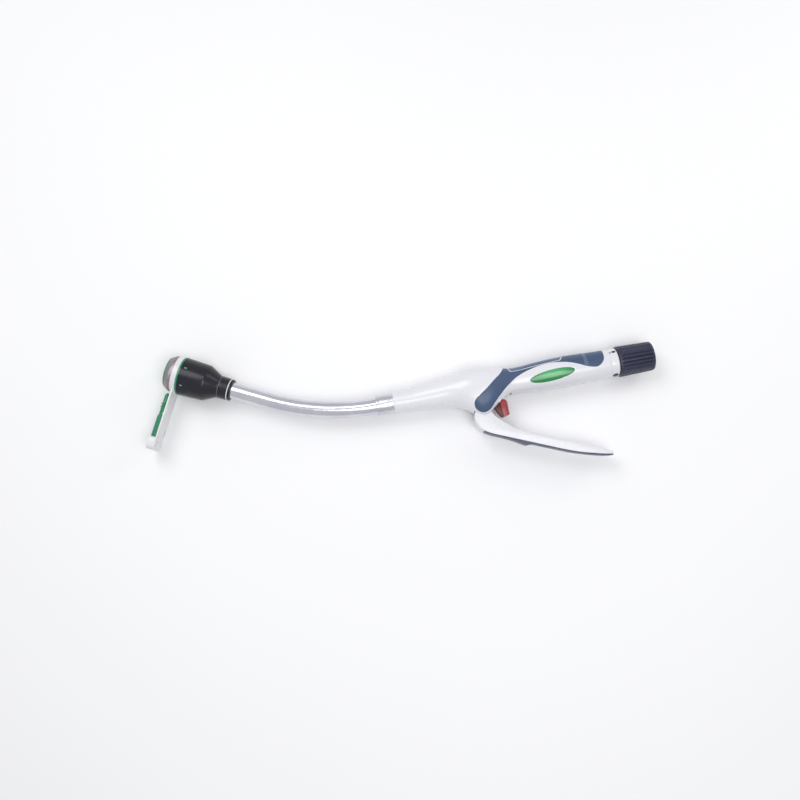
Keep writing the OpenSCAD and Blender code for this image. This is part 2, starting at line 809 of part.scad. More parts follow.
module head_shell() {
    color("#2A2930") along_head() rotate_extrude() polygon([
        [tube_r, neck_t0], [neck_r, neck_t0], [neck_r, flare_t0], [barrel_r - flare_step, barrel_t0],
        [barrel_r, flange_t0],
        [cart_r, flange_t0], [cart_r, cart_t0], [cavity_r, cart_t0], [cavity_r, driver_t0 - free_gap],
        [tube_in_r, flare_t0 + wall], [tube_in_r, tube_t1], [tube_r, tube_t1]
    ]);
}

// Stem of the driver: runs in the end of the shaft tube and carries the base ring
module driver_stem() {
    color("#DEDEE4") along_head(end_gap) pipe(rod_r, rod_in_r, driver_t0 - end_gap);
}

module staple_places() {
    for (row = [0, 1], i = [0 : row_count - 1]) {
        r = row == 0 ? row_inner_r : row_outer_r;
        rotate([0, 0, 360 * (i + 0.5 * row) / row_count]) translate([r, 0, 0]) children();
    }
}

finger_gap = 0.1;

module staple_driver() {
    finger_t = slot_t - 2 * finger_gap;
    finger_w = slot_w - 4 * finger_gap;
    finger_l = finger_top - staple_leg + 2 * staple_wire - driver_t0 - driver_l;
    color("#F0EDE2") along_head() {
        translate([0, 0, driver_t0]) pipe(driver_r, knife_r, driver_l);
        translate([0, 0, driver_t0]) pipe(knife_r, rod_in_r, driver_l / 2);
        staple_places() translate([-finger_t / 2, -finger_w / 2, driver_t0 + driver_l - tiny])
            cube([finger_t, finger_w, finger_l]);
    }
}

knife_depth = 2.5;
knife_edge_t = face_t0 - knife_depth;

module circular_knife() {
    color("#C4C6CA") along_head(driver_t0 + driver_l / 2) difference() {
        pipe(knife_r, knife_r - knife_t, knife_edge_t - driver_t0 - driver_l / 2);
        translate([0, 0, knife_edge_t - driver_t0 - driver_l / 2 - 2 * knife_t])
            cylinder(r1 = knife_r - knife_t, r2 = knife_r, h = 2 * knife_t + tiny);
    }
}

module staple_cartridge() {
    color("#0E8F60") along_head() difference() {
        union() {
            translate([0, 0, cart_t0]) cylinder(r = cart_r, h = cart_l);
            translate([0, 0, flange_t0]) cylinder(r = head_r - 0.5 * run_gap, h = flange_t);
        }
        translate([0, 0, cart_t0 - cut]) {
            cylinder(r = cart_in_r, h = cart_l + 2 * cut);
            staple_places()
                translate([-slot_t / 2, -slot_w / 2, 0]) cube([slot_t, slot_w, cart_l + 2 * cut]);
        }
    }
}

// One staple: a crown and two legs of round wire
staple_wire = 0.15;
leg_depth = 0.5;

module staples() {
    crown_t = face_t0 - leg_depth - staple_leg;
    color("#D8DADF") along_head() staple_places() {
        translate([0, -staple_w / 2, crown_t]) rotate([-90, 0, 0]) cylinder(r = staple_wire, h = staple_w);
        for (side = [-1, 1])
            translate([0, side * (staple_w / 2 - staple_wire), crown_t])
                cylinder(r = staple_wire, h = staple_leg);
    }
}

// Trocar with its guide collar and spike, slotted for the band
trocar_collar_l = 4;
spike_l = 12;
trocar_depth = 6;
trocar_t1 = face_t0 - trocar_depth;
band_eye_r = trocar_r + 3 * free_gap;

module trocar() {
    slot_z = band_w / 2 + run_gap;
    slot_y = band_t / 2 + run_gap;
    color("#C2C4C9") difference() {
        along_head() {
            translate([0, 0, trocar_t0]) cylinder(r = band_eye_r, h = clevis_l + trocar_collar_l);
            translate([0, 0, trocar_t0 + clevis_l]) cylinder(r = rod_in_r - run_gap, h = trocar_collar_l);
            translate([0, 0, trocar_t0]) cylinder(r = trocar_r, h = trocar_t1 - spike_l - trocar_t0);
            translate([0, 0, trocar_t1 - spike_l]) cylinder(r1 = trocar_r, r2 = 0.1 * trocar_r, h = spike_l);
        }
        at_head(trocar_t0) slab([-cut, -slot_y, -slot_z], [clevis_l, slot_y, slot_z]);
    }
}

detach_run = 18;
shaft_rear_t = trocar_t0 + clevis_l + trocar_collar_l + detach_run;
shaft_bore_top_t = trocar_t1 + cut;
washer_r = cart_in_r;
face_t = 1.6;
face_in_r = washer_r + run_gap;

module anvil_shaft() {
    color("#BFC1C6") along_head() difference() {
        translate([0, 0, shaft_rear_t]) cylinder(r = stem_r, h = anvil_t1 - shaft_rear_t);
        translate([0, 0, shaft_rear_t - cut])
            cylinder(r = trocar_r + 0.5 * run_gap, h = shaft_bore_top_t - shaft_rear_t + cut);
    }
}

// Metal face with one shallow pocket for each staple
pocket_t = 0.4;
anvil_step = 1;
anvil_taper = 4;
anvil_r = head_r - anvil_step;
anvil_front_r = head_r - anvil_taper;

module anvil_face() {
    color("#B5B2B0") along_head(anvil_t0) difference() {
        pipe(anvil_r, face_in_r, face_t);
        staple_places() translate([-slot_t / 2, -slot_w / 2, -cut]) cube([slot_t, slot_w, pocket_t + cut]);
    }
}

module anvil_head() {
    edge = 0.8;
    color("#A9A6A4") along_head() rotate_extrude() polygon([
        [stem_r, anvil_t0 + face_t], [anvil_r, anvil_t0 + face_t],
        [anvil_r - 0.2 * edge, anvil_t0 + 2 * face_t],
        [anvil_front_r + edge, anvil_t1 - edge], [anvil_front_r, anvil_t1], [stem_r, anvil_t1]
    ]);
}

module cutting_washer() {
    color("#F4F2EA") along_head(anvil_t0 + pocket_t) pipe(washer_r, stem_r, face_t - pocket_t);
}

anvil_cap_t = 1;

module anvil_cap() {
    color("#0E8F60") along_head(anvil_t1) rotate_extrude() polygon([
        [0, 0], [anvil_front_r, 0], [anvil_front_r - 0.3 * anvil_cap_t, 0.6 * anvil_cap_t],
        [anvil_front_r - 2 * anvil_cap_t, anvil_cap_t], [0, anvil_cap_t]
    ]);
}

// Retaining cap: a slotted ring with a recess for the knife, on a long tab with an end block
block_l = 11;
block_t = 9.4;
clip_t = 4.5;
clip_l = 4;
clip_wall = 1.5;
tip_w1 = tab_l - block_l - free_gap;
tip_w0 = tip_w1 - tip_l;
tip_stem_r = 0.62 * tip_r;
tip_t = cap_t0 + tab_t + run_gap + tip_r;
clip_w = tip_w0 + 0.3 * tip_l;

module retaining_cap() {
    slot_half = stem_r + free_gap;
    clip_z = tip_stem_r + run_gap;
    groove_t = cut + stroke + knife_edge_t - cap_t0 + free_gap;
    color("#F3F3F6") at_head() difference() {
        union() {
            translate([cap_t0, 0, 0]) rotate([0, 90, 0]) cylinder(r = head_r, h = cap_t);
            slab([cap_t0, 0, -tab_w / 2], [cap_t0 + tab_t, tab_l, tab_w / 2]);
            slab([cap_t0, tab_l - block_l, -tab_w / 2], [cap_t0 + block_t, tab_l, tab_w / 2]);
            for (side = [0, 1]) mirror([0, 0, side])
                translate([0, clip_w, clip_z])
                    slab([cap_t0, 0, 0], [cap_t0 + tab_t + clip_t, clip_l, clip_wall]);
        }
        translate([cap_t0 - cut, 0, 0]) rotate([0, 90, 0]) cylinder(r = slot_half, h = cap_t + 2 * cut);
        slab([cap_t0 - cut, -2 * head_r, -slot_half], [cap_t0 + cap_t + cut, 0, slot_half]);
        translate([cap_t0 - cut, 0, 0]) rotate([0, 90, 0])
            pipe(knife_r + 2 * free_gap, knife_r - knife_t - 2 * free_gap, groove_t);
    }
}

// Spare trocar tip, lying along the tab
module trocar_tip() {
    shares = [
        [0, 0.08], [0.12, 0.62], [0.42, 0.62], [0.43, 0.9], [0.45, 0.62], [0.48, 0.9], [0.5, 0.62],
        [0.53, 0.62], [0.58, 1], [1, 1]
    ];
    color("#0F9460") at_head(tip_t) translate([0, tip_w0, 0]) rotate([-90, 0, 0]) rotate_extrude()
        polygon(concat([[0, 0]], [for (s = shares) [s[1] * tip_r, s[0] * tip_l]], [[0, tip_l]]));
}

handle_shell_upper();
handle_shell_lower();
grip_inlay_upper();
grip_inlay_lower();
badge_upper();
badge_lower();
indicator_window();
indicator_scale();
indicator_pointer();
rear_collar();
turn_marks();
shell_screws();
thrust_washer();
knob();
knob_cap();
knob_sleeve();
lead_screw();
tension_band();
firing_lever();
lever_pad();
lever_pin();
safety_catch();
safety_pin();
push_rod();
firing_yoke();
return_spring();
tube_clamp();
shaft_tube();
socket_tube();
tube_sleeve();
flexible_pusher();
lock_ring();
head_shell();
driver_stem();
staple_driver();
circular_knife();
staple_cartridge();
staples();
trocar();
anvil_shaft();
anvil_face();
anvil_head();
cutting_washer();
anvil_cap();
retaining_cap();
trocar_tip();
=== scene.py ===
"""Circular surgical stapler: the finish and the fine shapes of its pieces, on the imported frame."""
import math

import bmesh
import bpy
from mathutils import Matrix, Vector


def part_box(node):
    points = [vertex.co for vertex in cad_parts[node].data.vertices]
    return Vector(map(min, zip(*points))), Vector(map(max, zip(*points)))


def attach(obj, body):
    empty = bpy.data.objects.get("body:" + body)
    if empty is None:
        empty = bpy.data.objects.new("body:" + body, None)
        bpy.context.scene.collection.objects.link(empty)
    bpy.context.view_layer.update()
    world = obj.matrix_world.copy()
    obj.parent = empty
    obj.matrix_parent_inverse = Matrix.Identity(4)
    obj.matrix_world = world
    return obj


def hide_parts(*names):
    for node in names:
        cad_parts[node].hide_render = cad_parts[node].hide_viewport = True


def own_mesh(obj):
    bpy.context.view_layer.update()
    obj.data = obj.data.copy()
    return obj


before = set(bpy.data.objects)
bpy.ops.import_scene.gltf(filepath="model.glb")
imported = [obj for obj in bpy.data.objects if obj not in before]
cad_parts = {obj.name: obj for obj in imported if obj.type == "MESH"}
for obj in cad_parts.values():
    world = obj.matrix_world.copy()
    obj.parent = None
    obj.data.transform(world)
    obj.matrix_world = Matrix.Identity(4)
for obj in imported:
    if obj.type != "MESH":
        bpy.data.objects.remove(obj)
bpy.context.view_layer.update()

# Units, and the places that the frame gives
MM = 0.001
QUARTER = math.radians(90)
shell_low, shell_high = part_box("handle_shell_upper")
NOSE_X = shell_low[0]
AXIS_Z = shell_low[2]
SHELL_L = (shell_high[0] - shell_low[0]) / MM
HANDLE_PLANE = Matrix.Translation((NOSE_X, 0, AXIS_Z))

# Bend of the shaft, as the joints give it, and its start in front of the nose
BEND_R = 200.0
BEND_ANGLE = math.radians(26.5)
BEND_START = -15.0

# Small measures of the mesh work
LEVEL_GAP = 1e-6
MERGE_GAP = 1e-5
NO_AREA = 1e-9
SEAM_GAP = 1e-4
CORNER_SHARE = 0.45
CORNER_LIMIT = 0.6
RIM_TURN = 0.5


# Frames

def along_handle(u=0.0):
    """Matrix that takes local Z along the handle, from u millimetres behind the nose."""
    return Matrix.Translation((NOSE_X + u * MM, 0, AXIS_Z)) @ Matrix.Rotation(QUARTER, 4, "Y")


def head_frame(t=0.0):
    """Matrix that takes local X forward along the head, t millimetres past the bend, and Y to the tab."""
    end_u = BEND_START - BEND_R * math.sin(BEND_ANGLE)
    end_v = BEND_R * (1 - math.cos(BEND_ANGLE))
    place = Matrix.Translation((NOSE_X + end_u * MM, end_v * MM, AXIS_Z))
    turn = Matrix.Rotation(math.pi - BEND_ANGLE, 4, "Z")
    return place @ turn @ Matrix.Translation((t * MM, 0, 0))


def along_head():
    """Matrix that takes local Z forward along the head."""
    return head_frame() @ Matrix.Rotation(QUARTER, 4, "Y")


# Curves through a few chosen points

def blend_of(a, b, c, d, t):
    """One value of the smooth curve between b and c."""
    square = (2 * a - 5 * b + 4 * c - d) * t ** 2
    cube = (3 * b - a - 3 * c + d) * t ** 3
    return 0.5 * (2 * b + (c - a) * t + square + cube)


def smooth_line(points, steps):
    """Points of a smooth curve through the given ones."""
    last = len(points) - 1
    out = []
    for i in range(last):
        near = [points[min(max(i + k - 1, 0), last)] for k in range(4)]
        for s in range(steps):
            out.append(tuple(blend_of(*values, s / steps) for values in zip(*near)))
    out.append(tuple(points[-1]))
    return out


def rounded(points, radius, steps=4):
    """The same closed outline with each corner rounded, as far as its sides allow."""
    out = []
    for i, here in enumerate(points):
        corner = Vector(here)
        before = Vector(points[i - 1]) - corner
        after = Vector(points[(i + 1) % len(points)]) - corner
        reach = min(radius, CORNER_SHARE * before.length, CORNER_SHARE * after.length)
        start = corner + before.normalized() * reach
        end = corner + after.normalized() * reach
        for s in range(steps + 1):
            t = s / steps
            out.append(tuple(start * (1 - t) ** 2 + corner * 2 * t * (1 - t) + end * t ** 2))
    return out


def value_along(line, u):
    """Value of a line of (place, value) points at one place."""
    if u <= line[0][0]:
        return line[0][1]
    for (u0, v0), (u1, v1) in zip(line, line[1:]):
        if u <= u1:
            return v0 + (v1 - v0) * (u - u0) / (u1 - u0)
    return line[-1][1]


def oval_points(u, v, half_u, half_v, count, tilt=0.0):
    """Points of an oval, or of a circle, turned by a tilt."""
    out = []
    for i in range(count):
        angle = 2 * math.pi * i / count
        along = half_u * math.cos(angle)
        across = half_v * math.sin(angle)
        out.append((u + along * math.cos(tilt) - across * math.sin(tilt),
                    v + along * math.sin(tilt) + across * math.cos(tilt)))
    return out


# Meshes

def piece_from(bm, name, place=None, sharp=35):
    """Makes an object at the origin from a mesh in millimetres or, with a place given, in its own frame."""
    bmesh.ops.transform(bm, matrix=(place or Matrix()) @ Matrix.Scale(MM, 4), verts=bm.verts)
    bmesh.ops.recalc_face_normals(bm, faces=bm.faces)
    mesh = bpy.data.meshes.new(name)
    bm.to_mesh(mesh)
    bm.free()
    mesh.shade_smooth()
    mesh.set_sharp_from_angle(angle=math.radians(sharp))
    piece = bpy.data.objects.new(name, mesh)
    bpy.context.scene.collection.objects.link(piece)
    return piece


def of_kind(geometry, kind):
    """The members of one kind among what an operator gives back."""
    return [g for g in geometry if isinstance(g, kind)]


def loop_of(bm, points):
    """A closed loop of edges through flat points."""
    verts = [bm.verts.new((p[0], p[1], 0)) for p in points]
    return [bm.edges.new((verts[i], verts[(i + 1) % len(verts)])) for i in range(len(verts))]


def bevel(bm, edges, size, segments=2):
    """Rounds the given edges."""
    bmesh.ops.bevel(bm, geom=edges, offset=size, offset_type="OFFSET", affect="EDGES", segments=segments,
                    profile=0.5, material=-1, clamp_overlap=True)


def rim_of(bm, level, upper):
    """Sharp edges at the upper or the lower level of a plate."""
    def at_level(vert):
        return vert.co.z > level - LEVEL_GAP if upper else vert.co.z < level + LEVEL_GAP
    return [e for e in bm.edges if all(at_level(v) for v in e.verts) and e.calc_face_angle(0) > RIM_TURN]


def flat_plate(outline, low, high, edge=0.0, segments=2, holes=()):
    """A flat plate with holes, whose upper rim is rounded."""
    bm = bmesh.new()
    edges = loop_of(bm, outline)
    for hole in holes:
        edges += loop_of(bm, hole)
    bmesh.ops.triangle_fill(bm, edges=edges, use_beauty=True, use_dissolve=False)
    bmesh.ops.dissolve_limit(bm, angle_limit=math.radians(1), use_dissolve_boundaries=False,
                             verts=bm.verts, edges=bm.edges)
    grown = bmesh.ops.extrude_face_region(bm, geom=bm.faces[:])
    top = of_kind(grown["geom"], bmesh.types.BMVert)
    bmesh.ops.translate(bm, vec=(0, 0, high - low), verts=top)
    bmesh.ops.translate(bm, vec=(0, 0, low), verts=bm.verts)
    bmesh.ops.recalc_face_normals(bm, faces=bm.faces)
    if edge > 0:
        bevel(bm, rim_of(bm, high, True), edge, segments)
    return bm


def side_plate(outline, low, high, edge=0.0, under=0.0, segments=3, holes=()):
    """A plate whose lower rim is rounded too."""
    bm = flat_plate(outline, low, high, edge, segments, holes)
    if under > 0:
        bevel(bm, rim_of(bm, low, False), under, segments)
    return bm


def cut_grid(bm, x_step, y_step):
    """Cuts a mesh along planes across X and Y, so that it can follow a curve."""
    for axis, step, normal in ((0, x_step, (1, 0, 0)), (1, y_step, (0, 1, 0))):
        values = [v.co[axis] for v in bm.verts]
        place = math.floor(min(values) / step + 1) * step
        while place < max(values) - LEVEL_GAP:
            point = [place * n for n in normal]
            geom = bm.verts[:] + bm.edges[:] + bm.faces[:]
            bmesh.ops.bisect_plane(bm, geom=geom, dist=MERGE_GAP, plane_co=point, plane_no=normal)
            place += step
    return bm


def joined(parts):
    """One mesh of several."""
    bm = bmesh.new()
    for part in parts:
        mesh = bpy.data.meshes.new("part")
        part.to_mesh(mesh)
        part.free()
        bm.from_mesh(mesh)
        bpy.data.meshes.remove(mesh)
    return bm


def mirrored(bm):
    """The mesh turned over to the other side of the parting plane."""
    bmesh.ops.scale(bm, vec=(1, 1, -1), verts=bm.verts)
    bmesh.ops.reverse_faces(bm, faces=bm.faces)
    return bm


def box_of(size, middle):
    """A box by its size and its middle."""
    bm = bmesh.new()
    bmesh.ops.create_cube(bm, size=1.0)
    bmesh.ops.scale(bm, vec=size, verts=bm.verts)
    bmesh.ops.translate(bm, vec=middle, verts=bm.verts)
    return bm


def round_marks(marks, place, arc_radius, low, height, steps):
    """Flat marks bent round local X, each an outline and the angle that it sits at."""
    parts = []
    for outline, angle in marks:
        part = cut_grid(flat_plate(outline, 0, 1), *steps)
        for vert in part.verts:
            turn = math.radians(angle) + vert.co.y / arc_radius
            radius = low + height * vert.co.z
            vert.co = (place + vert.co.x, radius * math.sin(turn), radius * math.cos(turn))
        parts.append(part)
    return joined(parts)


def turned(name, profile, place, steps=96, radius=0.0, sharp=35):
    """A turned piece: a closed profile of (radius, height) points, spun round local Z."""
    outline = rounded(profile, radius) if radius else profile
    bm = bmesh.new()
    edges = loop_of(bm, [(max(r, 0.0), z) for r, z in outline])
    bmesh.ops.rotate(bm, cent=(0, 0, 0), matrix=Matrix.Rotation(QUARTER, 3, "X"), verts=bm.verts)
    bmesh.ops.spin(bm, geom=edges + bm.verts[:], cent=(0, 0, 0), axis=(0, 0, 1), dvec=(0, 0, 0),
                   angle=2 * math.pi, steps=steps, use_merge=True, use_duplicate=False)
    bmesh.ops.remove_doubles(bm, verts=bm.verts, dist=MERGE_GAP)
    empty = [f for f in bm.faces if f.calc_area() < NO_AREA]
    bmesh.ops.delete(bm, geom=empty, context="FACES")
    return piece_from(bm, name, place, sharp)


def cut_with(piece, tool):
    """Cuts a piece with another, which is used up."""
    step = piece.modifiers.new("cut", "BOOLEAN")
    step.operation = "DIFFERENCE"
    step.solver = "EXACT"
    step.object = tool
    depsgraph = bpy.context.evaluated_depsgraph_get()
    mesh = bpy.data.meshes.new_from_object(piece.evaluated_get(depsgraph))
    piece.modifiers.clear()
    old = piece.data
    piece.data = mesh
    mesh.name = old.name
    bpy.data.meshes.remove(old)
    bpy.data.objects.remove(tool)


def finish_piece(piece, body, slot, material, *nodes):
    """Gives a piece its finish, the body that it rides on and the nodes that it stands for."""
    piece.data.materials.clear()
    piece.data.materials.append(material)
    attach(piece, body)
    if nodes:
        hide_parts(*nodes)


# Shared effects of the finishes

def new_effect(name, size_name, size, outputs):
    """An empty node group that takes a vector and a size: the group, its inlet and its outlet."""
    group = bpy.data.node_groups.new(name, "ShaderNodeTree")
    group.interface.new_socket(name="Vector", in_out="INPUT", socket_type="NodeSocketVector")
    socket = group.interface.new_socket(name=size_name, in_out="INPUT", socket_type="NodeSocketFloat")
    socket.default_value = size
    for label in outputs:
        group.interface.new_socket(name=label, in_out="OUTPUT", socket_type="NodeSocketFloat")
    return group, group.nodes.new("NodeGroupInput"), group.nodes.new("NodeGroupOutput")


def noise_node(group, vector, scale, detail, roughness=0.5):
    """A noise pattern in a group, on a given vector and scale."""
    node = group.nodes.new("ShaderNodeTexNoise")
    group.links.new(vector, node.inputs["Vector"])
    if isinstance(scale, float):
        node.inputs["Scale"].default_value = scale
    else:
        group.links.new(scale, node.inputs["Scale"])
    node.inputs["Detail"].default_value = detail
    node.inputs["Roughness"].default_value = roughness
    return node.outputs["Fac"]


def range_node(group, value, low, high, to_low=0.0, to_high=1.0, kind="LINEAR"):
    """Maps one range of a value to another."""
    node = group.nodes.new("ShaderNodeMapRange")
    node.interpolation_type = kind
    group.links.new(value, node.inputs["Value"])
    for label, number in (("From Min", low), ("From Max", high), ("To Min", to_low), ("To Max", to_high)):
        node.inputs[label].default_value = number
    return node.outputs["Result"]


def math_node(group, operation, first, second):
    """One sum on two values, each a socket or a number."""
    node = group.nodes.new("ShaderNodeMath")
    node.operation = operation
    for socket, value in zip(node.inputs, (first, second)):
        if isinstance(value, (int, float)):
            socket.default_value = value
        else:
            group.links.new(value, socket)
    return node.outputs["Value"]


def stretch_node(group, vector, scale, turn=(0, 0, 0), move=(0, 0, 0)):
    """Turns, moves and stretches the coordinates."""
    node = group.nodes.new("ShaderNodeMapping")
    group.links.new(vector, node.inputs["Vector"])
    node.inputs["Scale"].default_value = scale
    node.inputs["Rotation"].default_value = turn
    node.inputs["Location"].default_value = move
    return node.outputs["Vector"]


def make_moulded_grain():
    """Moulded plastic: a fine skin, broad uneven tone and a few rubbed spots."""
    group, inlet, outlet = new_effect("moulded grain", "Grain size", 900.0, ("Grain", "Tone", "Rub"))
    vector = inlet.outputs["Vector"]
    grain = noise_node(group, vector, inlet.outputs["Grain size"], detail=3.0)
    tone = noise_node(group, vector, scale=22.0, detail=2.0)
    rub = noise_node(group, vector, scale=140.0, detail=5.0, roughness=0.7)
    group.links.new(grain, outlet.inputs["Grain"])
    group.links.new(range_node(group, tone, 0.32, 0.68), outlet.inputs["Tone"])
    group.links.new(range_node(group, rub, 0.52, 0.78), outlet.inputs["Rub"])
    return group


def make_brushed_metal():
    """Polished metal: streaks along local X and faint cloudy wear."""
    group, inlet, outlet = new_effect("brushed metal", "Line size", 1500.0, ("Lines", "Cloud"))
    lines_at = stretch_node(group, inlet.outputs["Vector"], scale=(0.02, 1.0, 1.0))
    lines = noise_node(group, lines_at, inlet.outputs["Line size"], detail=2.0)
    cloud = noise_node(group, inlet.outputs["Vector"], scale=60.0, detail=4.0, roughness=0.65)
    group.links.new(range_node(group, lines, 0.3, 0.7), outlet.inputs["Lines"])
    group.links.new(range_node(group, cloud, 0.35, 0.7), outlet.inputs["Cloud"])
    return group


def make_turned_rings():
    """Turned metal: rings round the X axis of the vector, with faint wear across them."""
    group, inlet, outlet = new_effect("turned rings", "Ring size", 2600.0, ("Rings", "Wear"))
    parts = group.nodes.new("ShaderNodeSeparateXYZ")
    group.links.new(inlet.outputs["Vector"], parts.inputs["Vector"])
    squares = [math_node(group, "POWER", parts.outputs[axis], 2.0) for axis in ("Y", "Z")]
    radius = math_node(group, "SQRT", math_node(group, "ADD", *squares), 0.0)
    place = group.nodes.new("ShaderNodeCombineXYZ")
    group.links.new(parts.outputs["X"], place.inputs["X"])
    group.links.new(radius, place.inputs["Y"])
    rings = noise_node(group, place.outputs["Vector"], inlet.outputs["Ring size"], detail=2.0)
    wear = noise_node(group, inlet.outputs["Vector"], scale=220.0, detail=4.0, roughness=0.6)
    group.links.new(range_node(group, rings, 0.3, 0.7), outlet.inputs["Rings"])
    group.links.new(range_node(group, wear, 0.4, 0.7), outlet.inputs["Wear"])
    return group


MOULDED_GRAIN = make_moulded_grain()
BRUSHED_METAL = make_brushed_metal()
TURNED_RINGS = make_turned_rings()


# Finishes

COAT_ROUGH = 0.12


def linear(colour):
    """Linear values of a colour as it is seen on the screen, 0 to 255."""
    shares = [c / 255 for c in colour]
    return tuple(s / 12.92 if s <= 0.04045 else ((s + 0.055) / 1.055) ** 2.4 for s in shares)


def new_finish(name):
    """A material with its surface shader and its coordinates."""
    material = bpy.data.materials.new(name)
    material.use_nodes = True
    tree = material.node_tree
    coords = tree.nodes.new("ShaderNodeTexCoord").outputs["Object"]
    return material, tree, tree.nodes["Principled BSDF"], coords


def place_effect(tree, group, vector, label, size):
    """Puts a shared effect in a material, with its own size."""
    node = tree.nodes.new("ShaderNodeGroup")
    node.node_tree = group
    tree.links.new(vector, node.inputs["Vector"])
    node.inputs[label].default_value = size
    return node


def mix_colours(tree, mask, first, second):
    """Mixes two colours by a mask; each is a colour of the screen or a socket."""
    node = tree.nodes.new("ShaderNodeMix")
    node.data_type = "RGBA"
    tree.links.new(mask, node.inputs["Factor"])
    for socket, colour in ((node.inputs["A"], first), (node.inputs["B"], second)):
        if isinstance(colour, tuple):
            socket.default_value = (*linear(colour), 1)
        else:
            tree.links.new(colour, socket)
    return node.outputs["Result"]


def lay_gloss(tree, shader, mask, rough):
    """Lets the roughness run between two values by a mask."""
    tree.links.new(range_node(tree, mask, 0.0, 1.0, *rough), shader.inputs["Roughness"])


def raise_skin(tree, shader, height, depth):
    """Feeds a height into the normal, in metres."""
    bump = tree.nodes.new("ShaderNodeBump")
    bump.inputs["Distance"].default_value = depth
    bump.inputs["Strength"].default_value = 1.0
    tree.links.new(height, bump.inputs["Height"])
    tree.links.new(bump.outputs["Normal"], shader.inputs["Normal"])


def plastic(name, colour, second, rough, skin, coat=0.0, shine=0.5):
    """Moulded plastic with a fine skin, uneven tone and rubbed spots."""
    material, tree, shader, coords = new_finish(name)
    grain, depth = skin
    effect = place_effect(tree, MOULDED_GRAIN, coords, "Grain size", grain)
    tree.links.new(mix_colours(tree, effect.outputs["Tone"], colour, second), shader.inputs["Base Color"])
    lay_gloss(tree, shader, effect.outputs["Rub"], rough)
    raise_skin(tree, shader, effect.outputs["Grain"], depth)
    shader.inputs["Coat Weight"].default_value = coat
    shader.inputs["Coat Roughness"].default_value = COAT_ROUGH
    shader.inputs["Specular IOR Level"].default_value = shine
    return material


def metal(name, colour, second, rough, lines, depth):
    """Polished metal with fine lines along the handle."""
    material, tree, shader, coords = new_finish(name)
    effect = place_effect(tree, BRUSHED_METAL, coords, "Line size", lines)
    tree.links.new(mix_colours(tree, effect.outputs["Cloud"], colour, second), shader.inputs["Base Color"])
    lay_gloss(tree, shader, effect.outputs["Lines"], rough)
    raise_skin(tree, shader, effect.outputs["Lines"], depth)
    shader.inputs["Metallic"].default_value = 1.0
    return material


def turned_metal(name, colour, second, rough, rings, depth):
    """Turned metal of the head, with rings round the axis of the head."""
    material, tree, shader, coords = new_finish(name)
    centre = head_frame().inverted()
    local = stretch_node(tree, coords, (1, 1, 1), tuple(centre.to_euler()), tuple(centre.to_translation()))
    effect = place_effect(tree, TURNED_RINGS, local, "Ring size", rings)
    tree.links.new(mix_colours(tree, effect.outputs["Wear"], colour, second), shader.inputs["Base Color"])
    lay_gloss(tree, shader, effect.outputs["Rings"], rough)
    raise_skin(tree, shader, effect.outputs["Rings"], depth)
    shader.inputs["Metallic"].default_value = 1.0
    return material


# Skins of the plastics: the scale of the grain and its depth in metres
SHELL_SKIN = (1100.0, 0.000012)
FRAME_SKIN = (1100.0, 0.00001)
CAP_SKIN = (1100.0, 0.000014)
SOFT_SKIN = (2400.0, 0.00003)
KNOB_SKIN = (1600.0, 0.000015)
HEAD_SKIN = (1300.0, 0.00001)
RING_SKIN = (1200.0, 0.000012)
TIP_SKIN = (1200.0, 0.000015)
CATCH_SKIN = (1200.0, 0.00002)
LATCH_SKIN = (1200.0, 0.00001)
SCALE_SKIN = (1500.0, 0.00001)
INNER_SKIN = (900.0, 0.00003)
DRIVER_SKIN = (900.0, 0.00002)

SHELL_WHITE = plastic("shell white", (231, 231, 236), (225, 225, 231), (0.22, 0.36), SHELL_SKIN, coat=0.35)
LEVER_WHITE = plastic("lever white", (230, 230, 234), (223, 223, 229), (0.26, 0.4), SHELL_SKIN, coat=0.25)
# Whiter than the shell: the window frame's white, and on the beads round the inlays a painted highlight.
FRAME_WHITE_AND_RIM_HIGHLIGHT = plastic("frame white and rim highlight", (236, 237, 243), (230, 231, 239), (0.18, 0.3), FRAME_SKIN, coat=0.4)
CAP_WHITE = plastic("cap white", (229, 229, 231), (221, 222, 225), (0.28, 0.42), CAP_SKIN, coat=0.2)
INLAY_BLUE = plastic("inlay blue", (66, 86, 118), (59, 79, 110), (0.42, 0.58), SOFT_SKIN, coat=0.12)
PAD_BLUE = plastic("pad blue", (50, 63, 94), (44, 56, 86), (0.42, 0.58), SOFT_SKIN, coat=0.1)
# Lighter blue of the band across the inlay: a painted reflection.
BAND_REFLECTION_BLUE = plastic("band painted reflection blue", (92, 112, 145), (84, 104, 137), (0.34, 0.48), SOFT_SKIN, coat=0.2)
KNOB_NAVY = plastic("knob navy", (54, 57, 79), (45, 48, 69), (0.24, 0.4), KNOB_SKIN, shine=0.4)
HEAD_BLACK = plastic("head black", (34, 34, 43), (27, 27, 36), (0.2, 0.34), HEAD_SKIN, shine=0.34)
LOCK_BLACK = plastic("lock ring black", (33, 33, 41), (27, 27, 34), (0.3, 0.44), HEAD_SKIN, shine=0.3)
MARK_BLACK = plastic("mark black", (30, 30, 36), (25, 25, 31), (0.4, 0.5), HEAD_SKIN)
